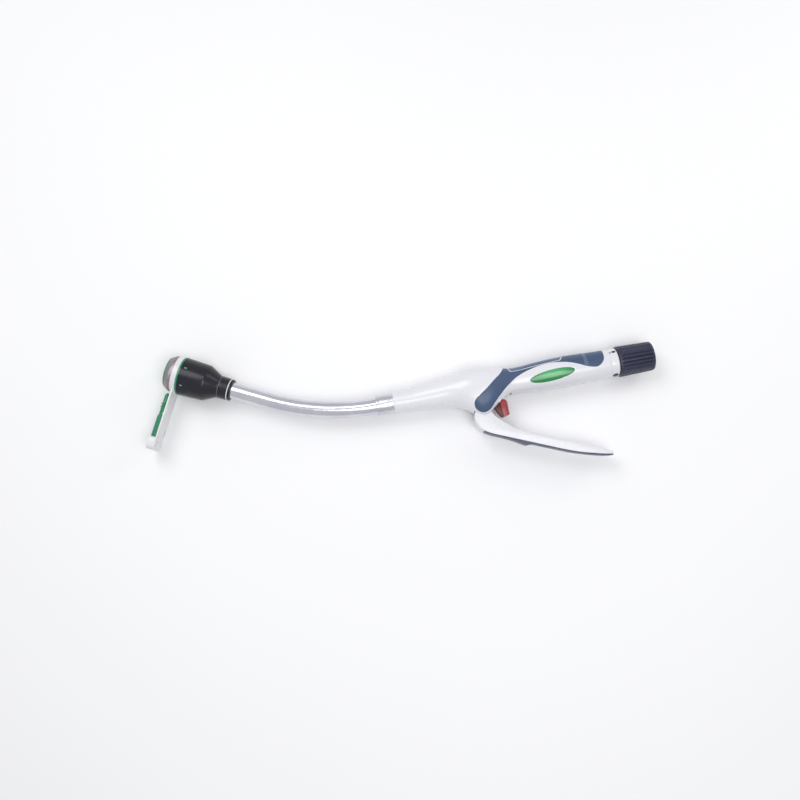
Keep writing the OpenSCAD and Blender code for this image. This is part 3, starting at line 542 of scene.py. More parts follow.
# Lighter grey of the neck line ring: a painted highlight for the light that the neck grooves catch.
NECK_HIGHLIGHT_GREY = plastic("neck painted highlight grey", (112, 113, 122), (102, 103, 112), (0.3, 0.44), HEAD_SKIN)
CARTRIDGE_GREEN = plastic("cartridge green", (8, 137, 92), (5, 126, 84), (0.28, 0.4), RING_SKIN, coat=0.25)
TIP_GREEN = plastic("tip green", (8, 134, 90), (4, 122, 81), (0.3, 0.42), TIP_SKIN, coat=0.2)
LATCH_GREEN = plastic("latch green", (112, 170, 158), (100, 160, 148), (0.3, 0.45), LATCH_SKIN)
CATCH_RED = plastic("catch red", (158, 52, 58), (146, 45, 52), (0.34, 0.5), CATCH_SKIN, coat=0.15)
# Darker red of the catch arm: painted shade on the catch's red.
CATCH_SHADE_RED = plastic("catch red painted shade", (104, 34, 40), (92, 28, 34), (0.4, 0.55), CATCH_SKIN)
SCALE_WHITE = plastic("scale white", (228, 229, 230), (222, 223, 226), (0.45, 0.55), SCALE_SKIN)
POINTER_ORANGE = plastic("pointer orange", (232, 120, 44), (222, 110, 38), (0.35, 0.45), SCALE_SKIN)
INNER_GREY = plastic("inner grey", (176, 178, 184), (166, 168, 175), (0.45, 0.6), INNER_SKIN)
YOKE_DARK = plastic("yoke dark", (70, 71, 78), (62, 63, 70), (0.45, 0.6), INNER_SKIN)
DRIVER_IVORY = plastic("driver ivory", (224, 219, 203), (215, 209, 192), (0.4, 0.52), DRIVER_SKIN)
WASHER_WHITE = plastic("washer white", (230, 230, 228), (222, 222, 221), (0.45, 0.58), DRIVER_SKIN)

# Metals: the last two numbers are the scale of the lines or rings and their depth in metres
TUBE_SILVER = metal("tube silver", (218, 218, 225), (205, 205, 214), (0.12, 0.24), 1600.0, 0.000003)
SLEEVE_SILVER = metal("sleeve silver", (212, 212, 220), (197, 197, 207), (0.2, 0.34), 1600.0, 0.000003)
SCREW_STEEL = metal("screw steel", (182, 182, 186), (166, 166, 172), (0.26, 0.42), 1200.0, 0.000005)
SPRING_STEEL = metal("spring steel", (150, 152, 158), (132, 134, 141), (0.28, 0.45), 1400.0, 0.000005)
SLEEVE_BRONZE = metal("sleeve bronze", (176, 132, 78), (156, 114, 66), (0.3, 0.46), 1200.0, 0.000006)
BLADE_STEEL = turned_metal("blade steel", (206, 208, 212), (190, 192, 198), (0.14, 0.26), 3200.0, 0.000003)
STAPLE_TITANIUM = turned_metal("staple titanium", (176, 174, 170), (158, 156, 154), (0.26, 0.4), 2600.0,
                               0.000006)
ANVIL_STEEL = turned_metal("anvil steel", (162, 155, 157), (146, 139, 141), (0.4, 0.56), 2200.0, 0.00001)


# Camera, lamps and floor

CAMERA_TARGET = (-0.0691, 0.00142, 0.0165)
CAMERA_TURN = math.radians(10.44)
CAMERA_HEIGHT = math.radians(83)
CAMERA_DISTANCE = 0.7
HALF_VIEW = 0.34
LAMP_AIM = (-0.05, 0, 0)
GLOSS_SHARE = 0.46
WORLD_LIGHT = 0.46
WORLD_SEEN = 0.97


def place_camera():
    """A camera almost straight above the handle, turned as the photograph was taken."""
    right = Vector((math.cos(CAMERA_TURN), -math.sin(CAMERA_TURN), 0))
    up = Vector((math.sin(CAMERA_TURN), math.cos(CAMERA_TURN), 0))
    back = -up * math.cos(CAMERA_HEIGHT) + Vector((0, 0, 1)) * math.sin(CAMERA_HEIGHT)
    place = Vector(CAMERA_TARGET) + CAMERA_DISTANCE * back
    camera = bpy.data.objects.new("camera", bpy.data.cameras.new("camera"))
    turn = Matrix((right, back.cross(right), back)).transposed()
    camera.matrix_world = Matrix.Translation(place) @ turn.to_4x4()
    camera.data.sensor_fit = "HORIZONTAL"
    camera.data.angle = 2 * math.atan(HALF_VIEW / CAMERA_DISTANCE)
    camera.data.clip_start = 0.01
    bpy.context.scene.collection.objects.link(camera)
    bpy.context.scene.camera = camera


def place_lamp(name, place, aim, size, power):
    """A soft square lamp, pointed at a place."""
    lamp = bpy.data.lights.new(name, "AREA")
    lamp.size = size
    lamp.energy = power
    holder = bpy.data.objects.new(name, lamp)
    holder.location = place
    holder.rotation_euler = (Vector(aim) - Vector(place)).to_track_quat("-Z", "Y").to_euler()
    bpy.context.scene.collection.objects.link(holder)


def light_world():
    """A plain pale surrounding: near white to the camera and through clear parts, dimmer as light."""
    world = bpy.data.worlds.new("studio")
    world.use_nodes = True
    tree = world.node_tree
    backdrop = tree.nodes["Background"]
    path = tree.nodes.new("ShaderNodeLightPath")
    seen = math_node(tree, "MAXIMUM", path.outputs["Is Camera Ray"], path.outputs["Is Transmission Ray"])
    gloss = math_node(tree, "MULTIPLY", path.outputs["Is Glossy Ray"], GLOSS_SHARE)
    seen = math_node(tree, "MAXIMUM", seen, gloss)
    backdrop.inputs["Color"].default_value = (0.97, 0.98, 1.0, 1)
    tree.links.new(range_node(tree, seen, 0.0, 1.0, WORLD_LIGHT, WORLD_SEEN), backdrop.inputs["Strength"])
    bpy.context.scene.world = world


def lay_floor():
    """A plain pale floor."""
    bm = bmesh.new()
    bmesh.ops.create_grid(bm, x_segments=1, y_segments=1, size=2.0)
    mesh = bpy.data.meshes.new("floor")
    bm.to_mesh(mesh)
    bm.free()
    floor = bpy.data.objects.new("floor", mesh)
    bpy.context.scene.collection.objects.link(floor)
    material, tree, shader, coords = new_finish("floor")
    tone = noise_node(tree, coords, scale=3.0, detail=2.0)
    tree.links.new(mix_colours(tree, tone, (251, 251, 252), (249, 249, 251)), shader.inputs["Base Color"])
    shader.inputs["Roughness"].default_value = 0.85
    mesh.materials.append(material)


place_camera()
place_lamp("window lamp", (-0.4, 0.5, 0.9), LAMP_AIM, size=0.6, power=3.6)
place_lamp("top lamp", (0.1, -0.3, 1.1), LAMP_AIM, size=0.6, power=4.7)
place_lamp("side lamp", (0.65, 0.3, 0.4), (0, 0, 0), size=0.3, power=0.7)
light_world()
lay_floor()
bpy.context.scene.view_settings.view_transform = "Standard"


# Finishes of the pieces that keep the form that the frame gives

PLAIN_NODES = (
    (SCALE_WHITE, ("indicator_scale",)),
    (POINTER_ORANGE, ("indicator_pointer",)),
    (SCREW_STEEL, ("shell_screws", "thrust_washer", "lead_screw", "lever_pin", "safety_pin", "tube_clamp",
                   "trocar", "anvil_shaft")),
    (SLEEVE_BRONZE, ("knob_sleeve",)),
    (INNER_GREY, ("push_rod", "flexible_pusher")),
    (YOKE_DARK, ("firing_yoke",)),
    (DRIVER_IVORY, ("driver_stem", "staple_driver")),
    (BLADE_STEEL, ("circular_knife",)),
    (STAPLE_TITANIUM, ("staples",)),
    (CARTRIDGE_GREEN, ("staple_cartridge",)),
    (WASHER_WHITE, ("cutting_washer",)),
    (ANVIL_STEEL, ("anvil_face",)),
    (TUBE_SILVER, ("socket_tube",)),
)


def dress(node, material):
    """Gives a node of the frame its finish."""
    holder = bpy.data.objects[node]
    if not holder.material_slots:
        holder.data.materials.append(material)
    for place in holder.material_slots:
        place.material = material


for finish, node_names in PLAIN_NODES:
    for node_name in node_names:
        dress(node_name, finish)


# Form of the handle: its sections across, as places behind the nose and sizes in millimetres

TOP_EDGE = smooth_line([
    (-1, 9.2), (0, 9.3), (16.5, 9.8), (39.5, 12.3), (53.4, 13.4), (60.6, 14.9), (67, 16.2), (74.8, 16.8),
    (82, 16.1), (88.2, 14.5), (98.9, 11.8), (104.9, 11.2), (111.8, 11.4), (120.7, 12.2), (129.4, 12.8),
    (138.2, 13.2), (146.8, 13.3), (159.7, 12.9), (172.5, 12.4), (186, 12.2), (188, 12.2)], 6)
LOW_EDGE = smooth_line([
    (-1, -9.2), (0, -9.3), (12.7, -10), (29.9, -11.2), (47, -12.6), (55.2, -14.8), (60.8, -17.8),
    (64.6, -20.6), (67.5, -23.2), (71, -25.2), (74, -25.7), (77.5, -24.9), (81.4, -22.6), (85.5, -19.4),
    (89.4, -16.4), (96.3, -12.6), (102, -11.5), (116.2, -12), (133.3, -13), (150, -13.2), (167.9, -12.9),
    (186, -12.2), (188, -12.2)], 6)
HALF_WIDTH = smooth_line([
    (-1, 9.2), (0, 9.3), (17, 9.9), (40, 12), (52, 13.5), (60, 15.3), (67, 16.22), (75, 16.42), (83, 16.02),
    (90, 14.2), (98, 12.1), (106, 11.5), (120, 12.1), (138, 13.1), (150, 13.3), (167, 12.9), (186, 12.2),
    (188, 12.2)], 6)
FULLNESS = [(0, 2.0), (45, 2.05), (60, 2.35), (72, 2.7), (80, 2.65), (90, 2.3), (100, 2.05), (186, 2.0)]

# Millimetres that one degree round the handle takes in a flat outline, and the eye of the photograph's view
ARC = 0.23
TOP_ARC = 90 * ARC
EYE_U, EYE_V, EYE_FAR = 6.3, 1.35, 700.0
EYE_LEAN = (0.022, 0.121)


def handle_section(u):
    """Middle, half height, half width and fullness of the handle at one place."""
    top = value_along(TOP_EDGE, u)
    low = value_along(LOW_EDGE, u)
    return (top + low) / 2, (top - low) / 2, value_along(HALF_WIDTH, u), value_along(FULLNESS, u)


def signed_power(value, power):
    """A power of a value that keeps its sign."""
    return math.copysign(abs(value) ** power, value)


def on_handle(u, arc, depth):
    """Point of the handle: along it, round it from the upper flank to the top edge, and under its skin."""
    middle, high, wide, full = handle_section(u)
    angle = math.radians(arc / ARC)
    v = middle + (high - depth) * signed_power(math.sin(angle), 2 / full)
    w = (wide - depth) * signed_power(math.cos(angle), 2 / full)
    return Vector((NOSE_X / MM + u, v, AXIS_Z / MM + w))


def arc_at(u, v):
    """Place round the upper half of the handle of a point seen from straight above."""
    middle, high, _, full = handle_section(u)
    share = min(max((v - middle) / high, -1.0), 1.0)
    return math.degrees(math.asin(signed_power(share, full / 2))) * ARC


def height_at(u, v):
    """Height of the handle's upper half over its axis."""
    middle, high, wide, full = handle_section(u)
    share = min(abs((v - middle) / high), 1.0)
    return wide * (1 - share ** full) ** (1 / full)


def seen_from_eye(u, v, height):
    """Side place of a point at one height over the axis, as measured in the photograph's view."""
    closer = 1 - height / EYE_FAR
    return (EYE_U + (u - EYE_U - EYE_LEAN[0] * height) * closer,
            EYE_V + (v - EYE_V - EYE_LEAN[1] * height) * closer)


def seen_at(u, v):
    """Place along and round the handle of a point measured in the photograph's view."""
    u_real, v_real = u, v
    for _ in range(4):
        u_real, v_real = seen_from_eye(u, v, height_at(u_real, v_real))
    return u_real, arc_at(u_real, v_real)


def seen_flat(points, height):
    """Side points of a flat face at one height, as measured in the photograph's view."""
    return [seen_from_eye(u, v, height) for u, v in points]


def widened(points, gap):
    """The closed outline moved outwards by a gap, or inwards by a negative one."""
    area = sum(a[0] * b[1] - b[0] * a[1] for a, b in zip(points, points[1:] + points[:1]))
    side = 1 if area > 0 else -1
    out = []
    for i, here in enumerate(points):
        before = Vector(here) - Vector(points[i - 1])
        after = Vector(points[(i + 1) % len(points)]) - Vector(here)
        normal = before.normalized() + after.normalized()
        normal = Vector((normal.y, -normal.x)).normalized() * side
        reach = max(normal.dot(Vector((before.y, -before.x)).normalized() * side), CORNER_LIMIT)
        out.append(tuple(Vector(here) + normal * gap / reach))
    return out


# Inlay, window and badge, as flat outlines of places along and round the handle

INLAY_FRONT = smooth_line([seen_at(u, v) for u, v in (
    (67.6, -12.8), (69, -10), (72.1, -7.5), (77.1, -3.9), (84, 0.9), (91.1, 6.4), (95.6, 10.2),
    (98.2, 12.9))], 5)
INLAY_LOW = smooth_line([seen_at(u, v) for u, v in (
    (67.6, -12.8), (67.8, -16.9), (69.8, -19.9), (72.4, -21.6), (76.3, -21.9), (80.1, -20.2), (85.4, -15),
    (90.7, -9.9), (95.8, -5.2), (100.9, -1.4), (105.8, 2), (110.5, 4.2), (115.2, 5.9), (119.7, 7.2),
    (128.7, 9), (137.5, 9.6), (146, 8.9), (154.3, 7.2), (162.4, 4.1), (166.3, 2.1), (172, 0.1), (177, -0.7),
    (181.4, 1.4), (183.9, 4.9), (184.2, 8.3))], 5)
SEAM_FRONT, SEAM_REAR = 98.6, 182.2
INLAY_SEAM_FRONT, INLAY_SEAM_REAR, INLAY_GAP = 98.9, 181.9, 0.14
BAND_PLACE, BAND_OVER = (163.6, 166.6), 0.75
WINDOW_FRONT, WINDOW_REAR, WINDOW_SLANT = 101.6, 144.2, 2.4
WINDOW_FRONT_ARC, WINDOW_REAR_ARC = 40 * ARC, 44.5 * ARC
WINDOW_CORNER, WINDOW_OVERLAP, WINDOW_TAIL, HAIRLINE = 1.1, 0.52, 3.9, 0.1
BADGE_TILT = 0.0785
BADGE_ARC = [seen_at(u, v) for u, v in oval_points(137.9, -1.1, 19.7, 4.9, 72, BADGE_TILT)]

# Walls of the shells, and the notch in them for the lever and the catch
PLATE_GRID = (1.5, 1.1)
WALL = 2.2
SPLIT_GAP = 0.04
NOTCH_FRONT, NOTCH_STEP, NOTCH_REAR = 65.6, 91.5, 99.5
NOTCH_ARC, CATCH_ARC = -66 * ARC, -63 * ARC
LINING = [(0.4, -TOP_ARC), (65.5, -TOP_ARC), (65.5, -65 * ARC), (99.7, -62 * ARC), (99.7, -TOP_ARC),
          (SHELL_L - 0.4, -TOP_ARC), (SHELL_L - 0.4, TOP_ARC), (0.4, TOP_ARC)]


def handle_plate(name, outline, low, high, edge, lower=False, holes=(), lining=()):
    """A plate wrapped on one side of the handle, with any lining added to its mesh."""
    parts = [flat_plate(outline, low, high, edge, holes=holes)]
    parts += [flat_plate(*plate) for plate in lining]
    bm = joined([cut_grid(part, *PLATE_GRID) for part in parts])
    for vert in bm.verts:
        vert.co = on_handle(vert.co.x, vert.co.y, -vert.co.z)
    if lower:
        bmesh.ops.scale(bm, vec=(1, 1, -1), space=Matrix.Translation((0, 0, -AXIS_Z / MM)), verts=bm.verts)
    bmesh.ops.remove_doubles(bm, verts=bm.verts, dist=SEAM_GAP)
    return piece_from(bm, name, sharp=32)


def shell_outline():
    """Outline of one shell half, less the notches for the inlay, the lever and the safety catch."""
    outline = [(0, -TOP_ARC), (NOTCH_FRONT, -TOP_ARC), (NOTCH_FRONT, NOTCH_ARC), (NOTCH_STEP, NOTCH_ARC),
               (NOTCH_STEP + 1, CATCH_ARC), (NOTCH_REAR, CATCH_ARC), (NOTCH_REAR, -TOP_ARC)]
    outline += [(SHELL_L, -TOP_ARC), (SHELL_L, TOP_ARC), (SEAM_REAR, TOP_ARC)]
    return outline + INLAY_LOW[::-1][:-1] + INLAY_FRONT[:-1] + [(SEAM_FRONT, TOP_ARC), (0, TOP_ARC)]


def inlay_outline():
    """Outline of one inlay, round the edge of the window and up to the seam behind it."""
    seam = TOP_ARC - HAIRLINE
    outline = INLAY_FRONT[:-1] + [(INLAY_SEAM_FRONT, seam), (WINDOW_FRONT - WINDOW_SLANT, seam)]
    outline += [(WINDOW_FRONT - 0.7, WINDOW_FRONT_ARC - HAIRLINE),
                (WINDOW_FRONT + HAIRLINE, WINDOW_FRONT_ARC - WINDOW_OVERLAP),
                (WINDOW_REAR + 0.4, WINDOW_REAR_ARC - WINDOW_OVERLAP),
                (WINDOW_REAR + WINDOW_TAIL, WINDOW_REAR_ARC + 5),
                (WINDOW_REAR + WINDOW_TAIL, TOP_ARC), (INLAY_SEAM_REAR, TOP_ARC)]
    return widened(outline + INLAY_LOW[::-1][:-1], -INLAY_GAP)


def bead_outline(width):
    """Outline of the white bead that follows the edge of the inlay, as wide as given."""
    inner = [(SEAM_FRONT, TOP_ARC)] + INLAY_FRONT[::-1][1:] + INLAY_LOW[1:] + [(SEAM_REAR, TOP_ARC)]
    outer = [(u, min(arc, TOP_ARC)) for u, arc in widened(inner, width)]
    return inner + outer[::-1]


def band_outline():
    """Outline of the raised band that crosses the inlay behind the window; its lighter blue is a painted
    reflection.
    """
    front, rear = BAND_PLACE
    front_low, rear_low = [value_along(INLAY_LOW, u) + BAND_OVER for u in BAND_PLACE]
    return rounded([(front, front_low), (rear, rear_low), (rear, TOP_ARC), (front, TOP_ARC)], 0.5)


def make_handle():
    """Both halves: shells, inlays with their beads and bands, and badges."""
    for side, lower in (("upper", False), ("lower", True)):
        shell = handle_plate("shell_" + side, shell_outline(), low=-1.25, high=-SPLIT_GAP, edge=0.28,
                             lower=lower, holes=[BADGE_ARC[::-1]], lining=[(LINING, -WALL, -1.2)])
        finish_piece(shell, "handle", "shell_white", SHELL_WHITE, "handle_shell_" + side)
        inlay = handle_plate("inlay_" + side, inlay_outline(), low=-1.15, high=-SPLIT_GAP, edge=0.42,
                             lower=lower)
        finish_piece(inlay, "handle", "inlay_blue", INLAY_BLUE, "grip_inlay_" + side)
        # The bead is a raised lip, whiter than the shell as a painted highlight along the inlay's rim.
        bead = handle_plate("inlay_bead_" + side, bead_outline(0.75), low=-0.5, high=0.07, edge=0.12,
                            lower=lower)
        finish_piece(bead, "handle", "shell_white", FRAME_WHITE_AND_RIM_HIGHLIGHT)
        # A shallow raised rib, painted lighter blue as a reflection.
        band = handle_plate("inlay_band_" + side, band_outline(), low=-0.3, high=0.1, edge=0.12, lower=lower)
        finish_piece(band, "handle", "inlay_blue", BAND_REFLECTION_BLUE)
        badge = handle_plate("badge_plate_" + side, widened(BADGE_ARC, -0.16), low=-1.15, high=-0.16,
                             edge=0.3, lower=lower)
        finish_piece(badge, "handle", "badge_green", BADGE_GREEN, "badge_" + side)


def window_outline(grow):
    """Outline of the window across the top seam, grown by a gap on all sides."""
    front, rear = WINDOW_FRONT - grow, WINDOW_REAR + grow
    front_low, rear_low = WINDOW_FRONT_ARC - grow, WINDOW_REAR_ARC - grow
    half = [(front - WINDOW_SLANT + 0.6, TOP_ARC), (front, front_low), (rear, rear_low),
            (rear + 3, rear_low + 5.2)]
    return rounded(half + [(u, 2 * TOP_ARC - arc) for u, arc in half[:0:-1]], WINDOW_CORNER)


def make_window():
    """Clear window over the scale, in its white frame."""
    rim = handle_plate("window_frame", window_outline(0.45), low=-1.5, high=0.0, edge=0.14,
                       holes=[window_outline(-0.12)[::-1]])
    finish_piece(rim, "handle", "shell_white", FRAME_WHITE_AND_RIM_HIGHLIGHT)
    pane = handle_plate("window_pane", window_outline(-0.17), low=-1.4, high=-0.1, edge=0.25)
    finish_piece(pane, "handle", "window_clear", WINDOW_CLEAR, "indicator_window")


def badge_finish():
    """Green plate with a lighter oval middle, as deep as its own shine."""
    material, tree, shader, coords = new_finish("badge green")
    centre = on_handle(136, 0, 0) * MM
    half_x, half_y = 0.0197, 0.0052
    local = stretch_node(tree, coords, (1 / half_x, 1 / half_y, 0),
                         move=(-centre.x / half_x, -centre.y / half_y, 0))
    length = tree.nodes.new("ShaderNodeVectorMath")
    length.operation = "LENGTH"
    tree.links.new(local, length.inputs[0])
    middle = range_node(tree, length.outputs["Value"], 0.95, 0.25, kind="SMOOTHSTEP")
    effect = place_effect(tree, MOULDED_GRAIN, coords, "Grain size", 1400.0)
    base = mix_colours(tree, effect.outputs["Tone"], (20, 136, 68), (15, 126, 60))
    tree.links.new(mix_colours(tree, middle, base, (74, 174, 104)), shader.inputs["Base Color"])
    lay_gloss(tree, shader, effect.outputs["Rub"], (0.2, 0.34))
    raise_skin(tree, shader, effect.outputs["Grain"], 0.00001)
    shader.inputs["Coat Weight"].default_value = 0.4
    return material


def clear_finish():
    """Clear hard plastic with faint rubbed spots."""
    material, tree, shader, coords = new_finish("window clear")
    effect = place_effect(tree, MOULDED_GRAIN, coords, "Grain size", 700.0)
    tint = mix_colours(tree, effect.outputs["Tone"], (92, 116, 152), (84, 107, 143))
    tree.links.new(tint, shader.inputs["Base Color"])
    lay_gloss(tree, shader, effect.outputs["Rub"], (0.06, 0.16))
    shader.inputs["Transmission Weight"].default_value = 0.35
    shader.inputs["IOR"].default_value = 1.49
    return material


BADGE_GREEN = badge_finish()
WINDOW_CLEAR = clear_finish()


# Lever, pad and safety catch, seen from their side

PIVOT_U, PIVOT_V, PIVOT_HOLE = 73.0, -16.0, 2.05
SAFETY_U, SAFETY_V, SAFETY_HOLE = 87.0, -15.0, 1.55
LEVER_HALF, LEVER_WALL = 8.0, 2.0
LEVER_LOW = smooth_line(seen_flat([
    (66, -21.8), (65.2, -26.8), (67.2, -32), (71.7, -37), (76.3, -40), (84.3, -43.6), (92.3, -46.9),
    (100, -50), (109.1, -54), (124.3, -60.4), (136, -65.2), (148.5, -69.7), (165, -74.1),
    (174.6, -76)], LEVER_HALF), 4)
LEVER_TOP = smooth_line(seen_flat([
    (175.2, -75), (171.8, -72), (166.2, -68.6), (158.5, -64.3), (150, -61.4), (142.1, -58.8), (126, -52.4),
    (110, -45.6), (102, -42), (95.8, -38.2), (86.9, -30.4), (83.2, -26.7), (80.6, -22.6)], LEVER_HALF), 4)
LEVER_FORK = [
    (77.8, -18), (77.2, -13.6), (74.4, -11), (74.25, -3.6), (75.4, -2.4), (73.9, -0.3), (72.1, -0.3),
    (70.6, -2.4), (71.75, -3.6), (71.6, -11), (68.8, -13.6), (68.2, -18)]
WEB_SIDE, WEB_FRONT, WEB_LEAN, WEB_DEEP = 1.8, 6, 0.9, 2.5
RIB_SIDE, RIB_HALF, RIB_FOOT, RIB_SHARE = 1.7, 0.6, 1.5, 0.72
RIB_PLACES = (80, 92, 104, 116, 128, 140, 152)
PAD_FRONT, PAD_HALF, PAD_LEAN, PAD_OVERLAP = 70.5, 7.7, 0.2, 0.02
PAD_SWELL = [
    (70, 0.9), (84, 0.9), (90, 1.1), (95, 1.7), (99, 2.5), (103, 3.2), (105.5, 2.7), (108, 1.0), (112, 0.8),
    (150, 0.8), (158, 1.1), (168, 1.1), (176, 0.8)]
ARM_HALF, BLOCK_HALF = 3.6, 4.95
CATCH_ARM = [
    (84.3, -14.4), (83, -20), (87.9, -28.9), (91, -28.3), (90.6, -14.2), (89.2, -12.3), (85.4, -12.3)]
GRIP_LOW, GRIP_STEP, GRIPS = -27.0, 2.2, 5
GRIP_FACE = ((94.5, 0), (94.45, 1.5), (93.95, 1.75), (93.95, 2.0))


def make_lever():
    """Lever with two cheeks, the web under them, cross ribs and fork, and the soft pad on its underside."""
    side = LEVER_LOW + LEVER_TOP + LEVER_FORK
    pin = oval_points(PIVOT_U, PIVOT_V, PIVOT_HOLE, PIVOT_HOLE, 32)[::-1]
    near, far = [side_plate(side, LEVER_HALF - LEVER_WALL, LEVER_HALF, edge=0.55, under=0.2, holes=[pin])
                 for _ in range(2)]
    under = LEVER_LOW[WEB_FRONT:]
    inner = [(u + WEB_LEAN, v + WEB_DEEP) for u, v in under]
    web = flat_plate(under + inner[::-1], -LEVER_HALF + WEB_SIDE, LEVER_HALF - WEB_SIDE)
    ribs = []
    for u in RIB_PLACES:
        low = value_along(under, u)
        foot = low + RIB_FOOT
        head = low + RIB_SHARE * (value_along(LEVER_TOP[::-1], u) - low)
        outline = [(u - RIB_HALF, foot), (u + RIB_HALF, foot), (u + RIB_HALF, head), (u - RIB_HALF, head)]
        ribs.append(flat_plate(outline, -LEVER_HALF + RIB_SIDE, LEVER_HALF - RIB_SIDE))
    lever = piece_from(joined([near, mirrored(far), web, *ribs]), "lever_body", HANDLE_PLANE)
    finish_piece(lever, "lever", "lever_white", LEVER_WHITE, "firing_lever")
    below = [(u + PAD_LEAN, v - value_along(PAD_SWELL, u)) for u, v in LEVER_LOW if u > PAD_FRONT]
    above = [(u, v + PAD_OVERLAP) for u, v in LEVER_LOW[::-1] if u > PAD_FRONT]
    skin = side_plate(below + above, -PAD_HALF, PAD_HALF, edge=0.5, under=0.5)
    pad = piece_from(skin, "lever_pad_skin", HANDLE_PLANE)
    finish_piece(pad, "lever", "pad_blue", PAD_BLUE, "lever_pad")


def make_catch():
    """Red safety catch: a finger block with shallow grips, on an arm round its pin that is painted darker red
    as shade.
    """
    pin = oval_points(SAFETY_U, SAFETY_V, SAFETY_HOLE, SAFETY_HOLE, 32)[::-1]
    arm = side_plate(rounded(CATCH_ARM, 1.2), -ARM_HALF, ARM_HALF, edge=0.4, under=0.4, segments=2,
                     holes=[pin])
    holder = piece_from(arm, "catch_arm", HANDLE_PLANE)
    # The arm is painted darker red as shade.
    finish_piece(holder, "safety", "catch_red", CATCH_SHADE_RED, "safety_catch")
    outline = [(88.2, -15.6), (89.3, -28.9), (94.2, -27.9)]
    for i in range(GRIPS):
        outline += [(u, GRIP_LOW + i * GRIP_STEP + v) for u, v in GRIP_FACE]
    outline += [(94, -15.8), (92.2, -14.2), (89.4, -14.2)]
    block = side_plate(rounded(outline, 0.5, 2), -BLOCK_HALF, BLOCK_HALF, edge=0.45, under=0.45, segments=2)
    finger = piece_from(block, "catch_block", HANDLE_PLANE)
    finish_piece(finger, "safety", "catch_red", CATCH_RED)


# Knob and rear collar

KNOB_U = 193.7
KNOB_RINGS = [
    (9.6, 0.0, 0.4), (12.2, 0.0, 0.0), (12.95, 0.05, 0.25), (13.18, 0.15, 0.8), (13.19, 0.75, 1.8),
    (13.15, 0.9, 3.2), (12.8, 0.9, 15), (12.5, 0.9, 27.4), (12.42, 0.75, 28.5), (12.3, 0.25, 29.5),
    (12.0, 0.0, 30.05), (11.6, 0.0, 30.3), (10.6, 0.0, 30.3), (10.3, 0.0, 30.0), (10.2, 0.0, 29.4)]
KNOB_CAP = [
    (0, 28.6), (10.1, 28.6), (10.1, 29.7), (9.6, 30.0), (5.6, 30.05), (5.3, 29.75), (3.2, 29.7), (2.9, 29.95),
    (0, 29.95)]
FLUTES, FLUTE_STEPS, FLUTE_HALF, FLUTE_CURVE = 24, 12, 0.24, 1.5
COLLAR = [
    (5.65, 180), (10.0, 180), (10.0, SHELL_L - 0.3), (11.6, SHELL_L - 0.05), (12.16, SHELL_L + 0.35),
    (12.22, SHELL_L + 3), (12.22, SHELL_L + 6.6), (11.7, SHELL_L + 7.3), (5.65, SHELL_L + 7.35)]
COLLAR_R = 12.22
SMALL_DOT = oval_points(4.3, 0.0, 1.85, 1.25, 24)
LARGE_DOT = oval_points(3.6, 0.0, 2.6, 2.7, 24)
ARROW = [(0.75, -1.0), (2.1, 0), (0.75, 1.0)]
COLLAR_MARKS = (
    (SMALL_DOT, 41), (SMALL_DOT, 139), (LARGE_DOT, -69), (LARGE_DOT, -111), (ARROW, 38), (ARROW, 142))


def fluted_ring(bm, radius, groove, height):
    """A ring of edges whose radius dips at each flute."""
    circle = bmesh.ops.create_circle(bm, cap_ends=False, radius=radius, segments=FLUTES * FLUTE_STEPS)
    ring = set(circle["verts"])
    for vert in ring:
        around = math.atan2(vert.co.y, vert.co.x) * FLUTES / (2 * math.pi)
        dip = max(0.0, 1 - abs(around - round(around)) / FLUTE_HALF)
        share = 1 - groove * math.sin(dip * math.pi / 2) ** FLUTE_CURVE / radius
        vert.co.x *= share
        vert.co.y *= share
        vert.co.z = height
    return [e for e in bm.edges if e.verts[0] in ring and e.verts[1] in ring]


def make_knob():
    """Fluted knob with rounded rims, and its rear cap in a recess."""
    bm = bmesh.new()
    rims = [fluted_ring(bm, *ring) for ring in KNOB_RINGS]
    for first, second in zip(rims, rims[1:]):
        bmesh.ops.bridge_loops(bm, edges=first + second)
    for rim in (rims[0], rims[-1]):
        bmesh.ops.edgeloop_fill(bm, edges=rim)
    knob = piece_from(bm, "knob_fluted", along_handle(KNOB_U), sharp=40)
    finish_piece(knob, "knob", "knob_navy", KNOB_NAVY, "knob")
    cap = turned("knob_end", KNOB_CAP, along_handle(KNOB_U), radius=0.12)
    finish_piece(cap, "knob", "knob_navy", KNOB_NAVY, "knob_cap")


def make_collar():
    """Rear collar with rounded rims, and its bare turn marks."""
    collar = turned("collar_ring", COLLAR, along_handle(), radius=0.3)
    finish_piece(collar, "handle", "shell_white", SHELL_WHITE, "rear_collar")
    bent = round_marks(COLLAR_MARKS, SHELL_L, COLLAR_R, low=12.05, height=0.21, steps=(0.6, 0.4))
    marks = piece_from(bent, "collar_marks", HANDLE_PLANE)
    finish_piece(marks, "handle", "mark_black", MARK_BLACK, "turn_marks")


# Shaft: profiles are pairs of a radius and a place along it

TUBE_R, TUBE_BORE, TUBE_FRONT = 7.0, 6.2, 44.0
SLEEVE = [
    (7.02, -14.6), (7.9, -14.6), (8.15, -14.2), (8.15, -12.6), (7.95, -12.4), (7.95, -11.9), (8.15, -11.7),
    (8.15, -2.2), (7.98, -2.0), (7.98, -1.4), (8.15, -1.2), (8.15, 0), (7.02, 0)]
NOSE_RIM = [(8.2, 0.1), (8.9, 0.05), (9.22, 0.35), (9.25, 1.2), (9.1, 2.6), (7.1, 2.6), (7.1, 0.6)]
LOCK_BAND = [(7.02, 32), (8.7, 32), (9.2, 32.5), (9.2, 34.1), (7.02, 34.1)]
NECK_WASHER = [(7.02, 34.15), (9.1, 34.15), (9.3, 34.35), (9.3, 34.85), (9.1, 35.05), (7.02, 35.05)]


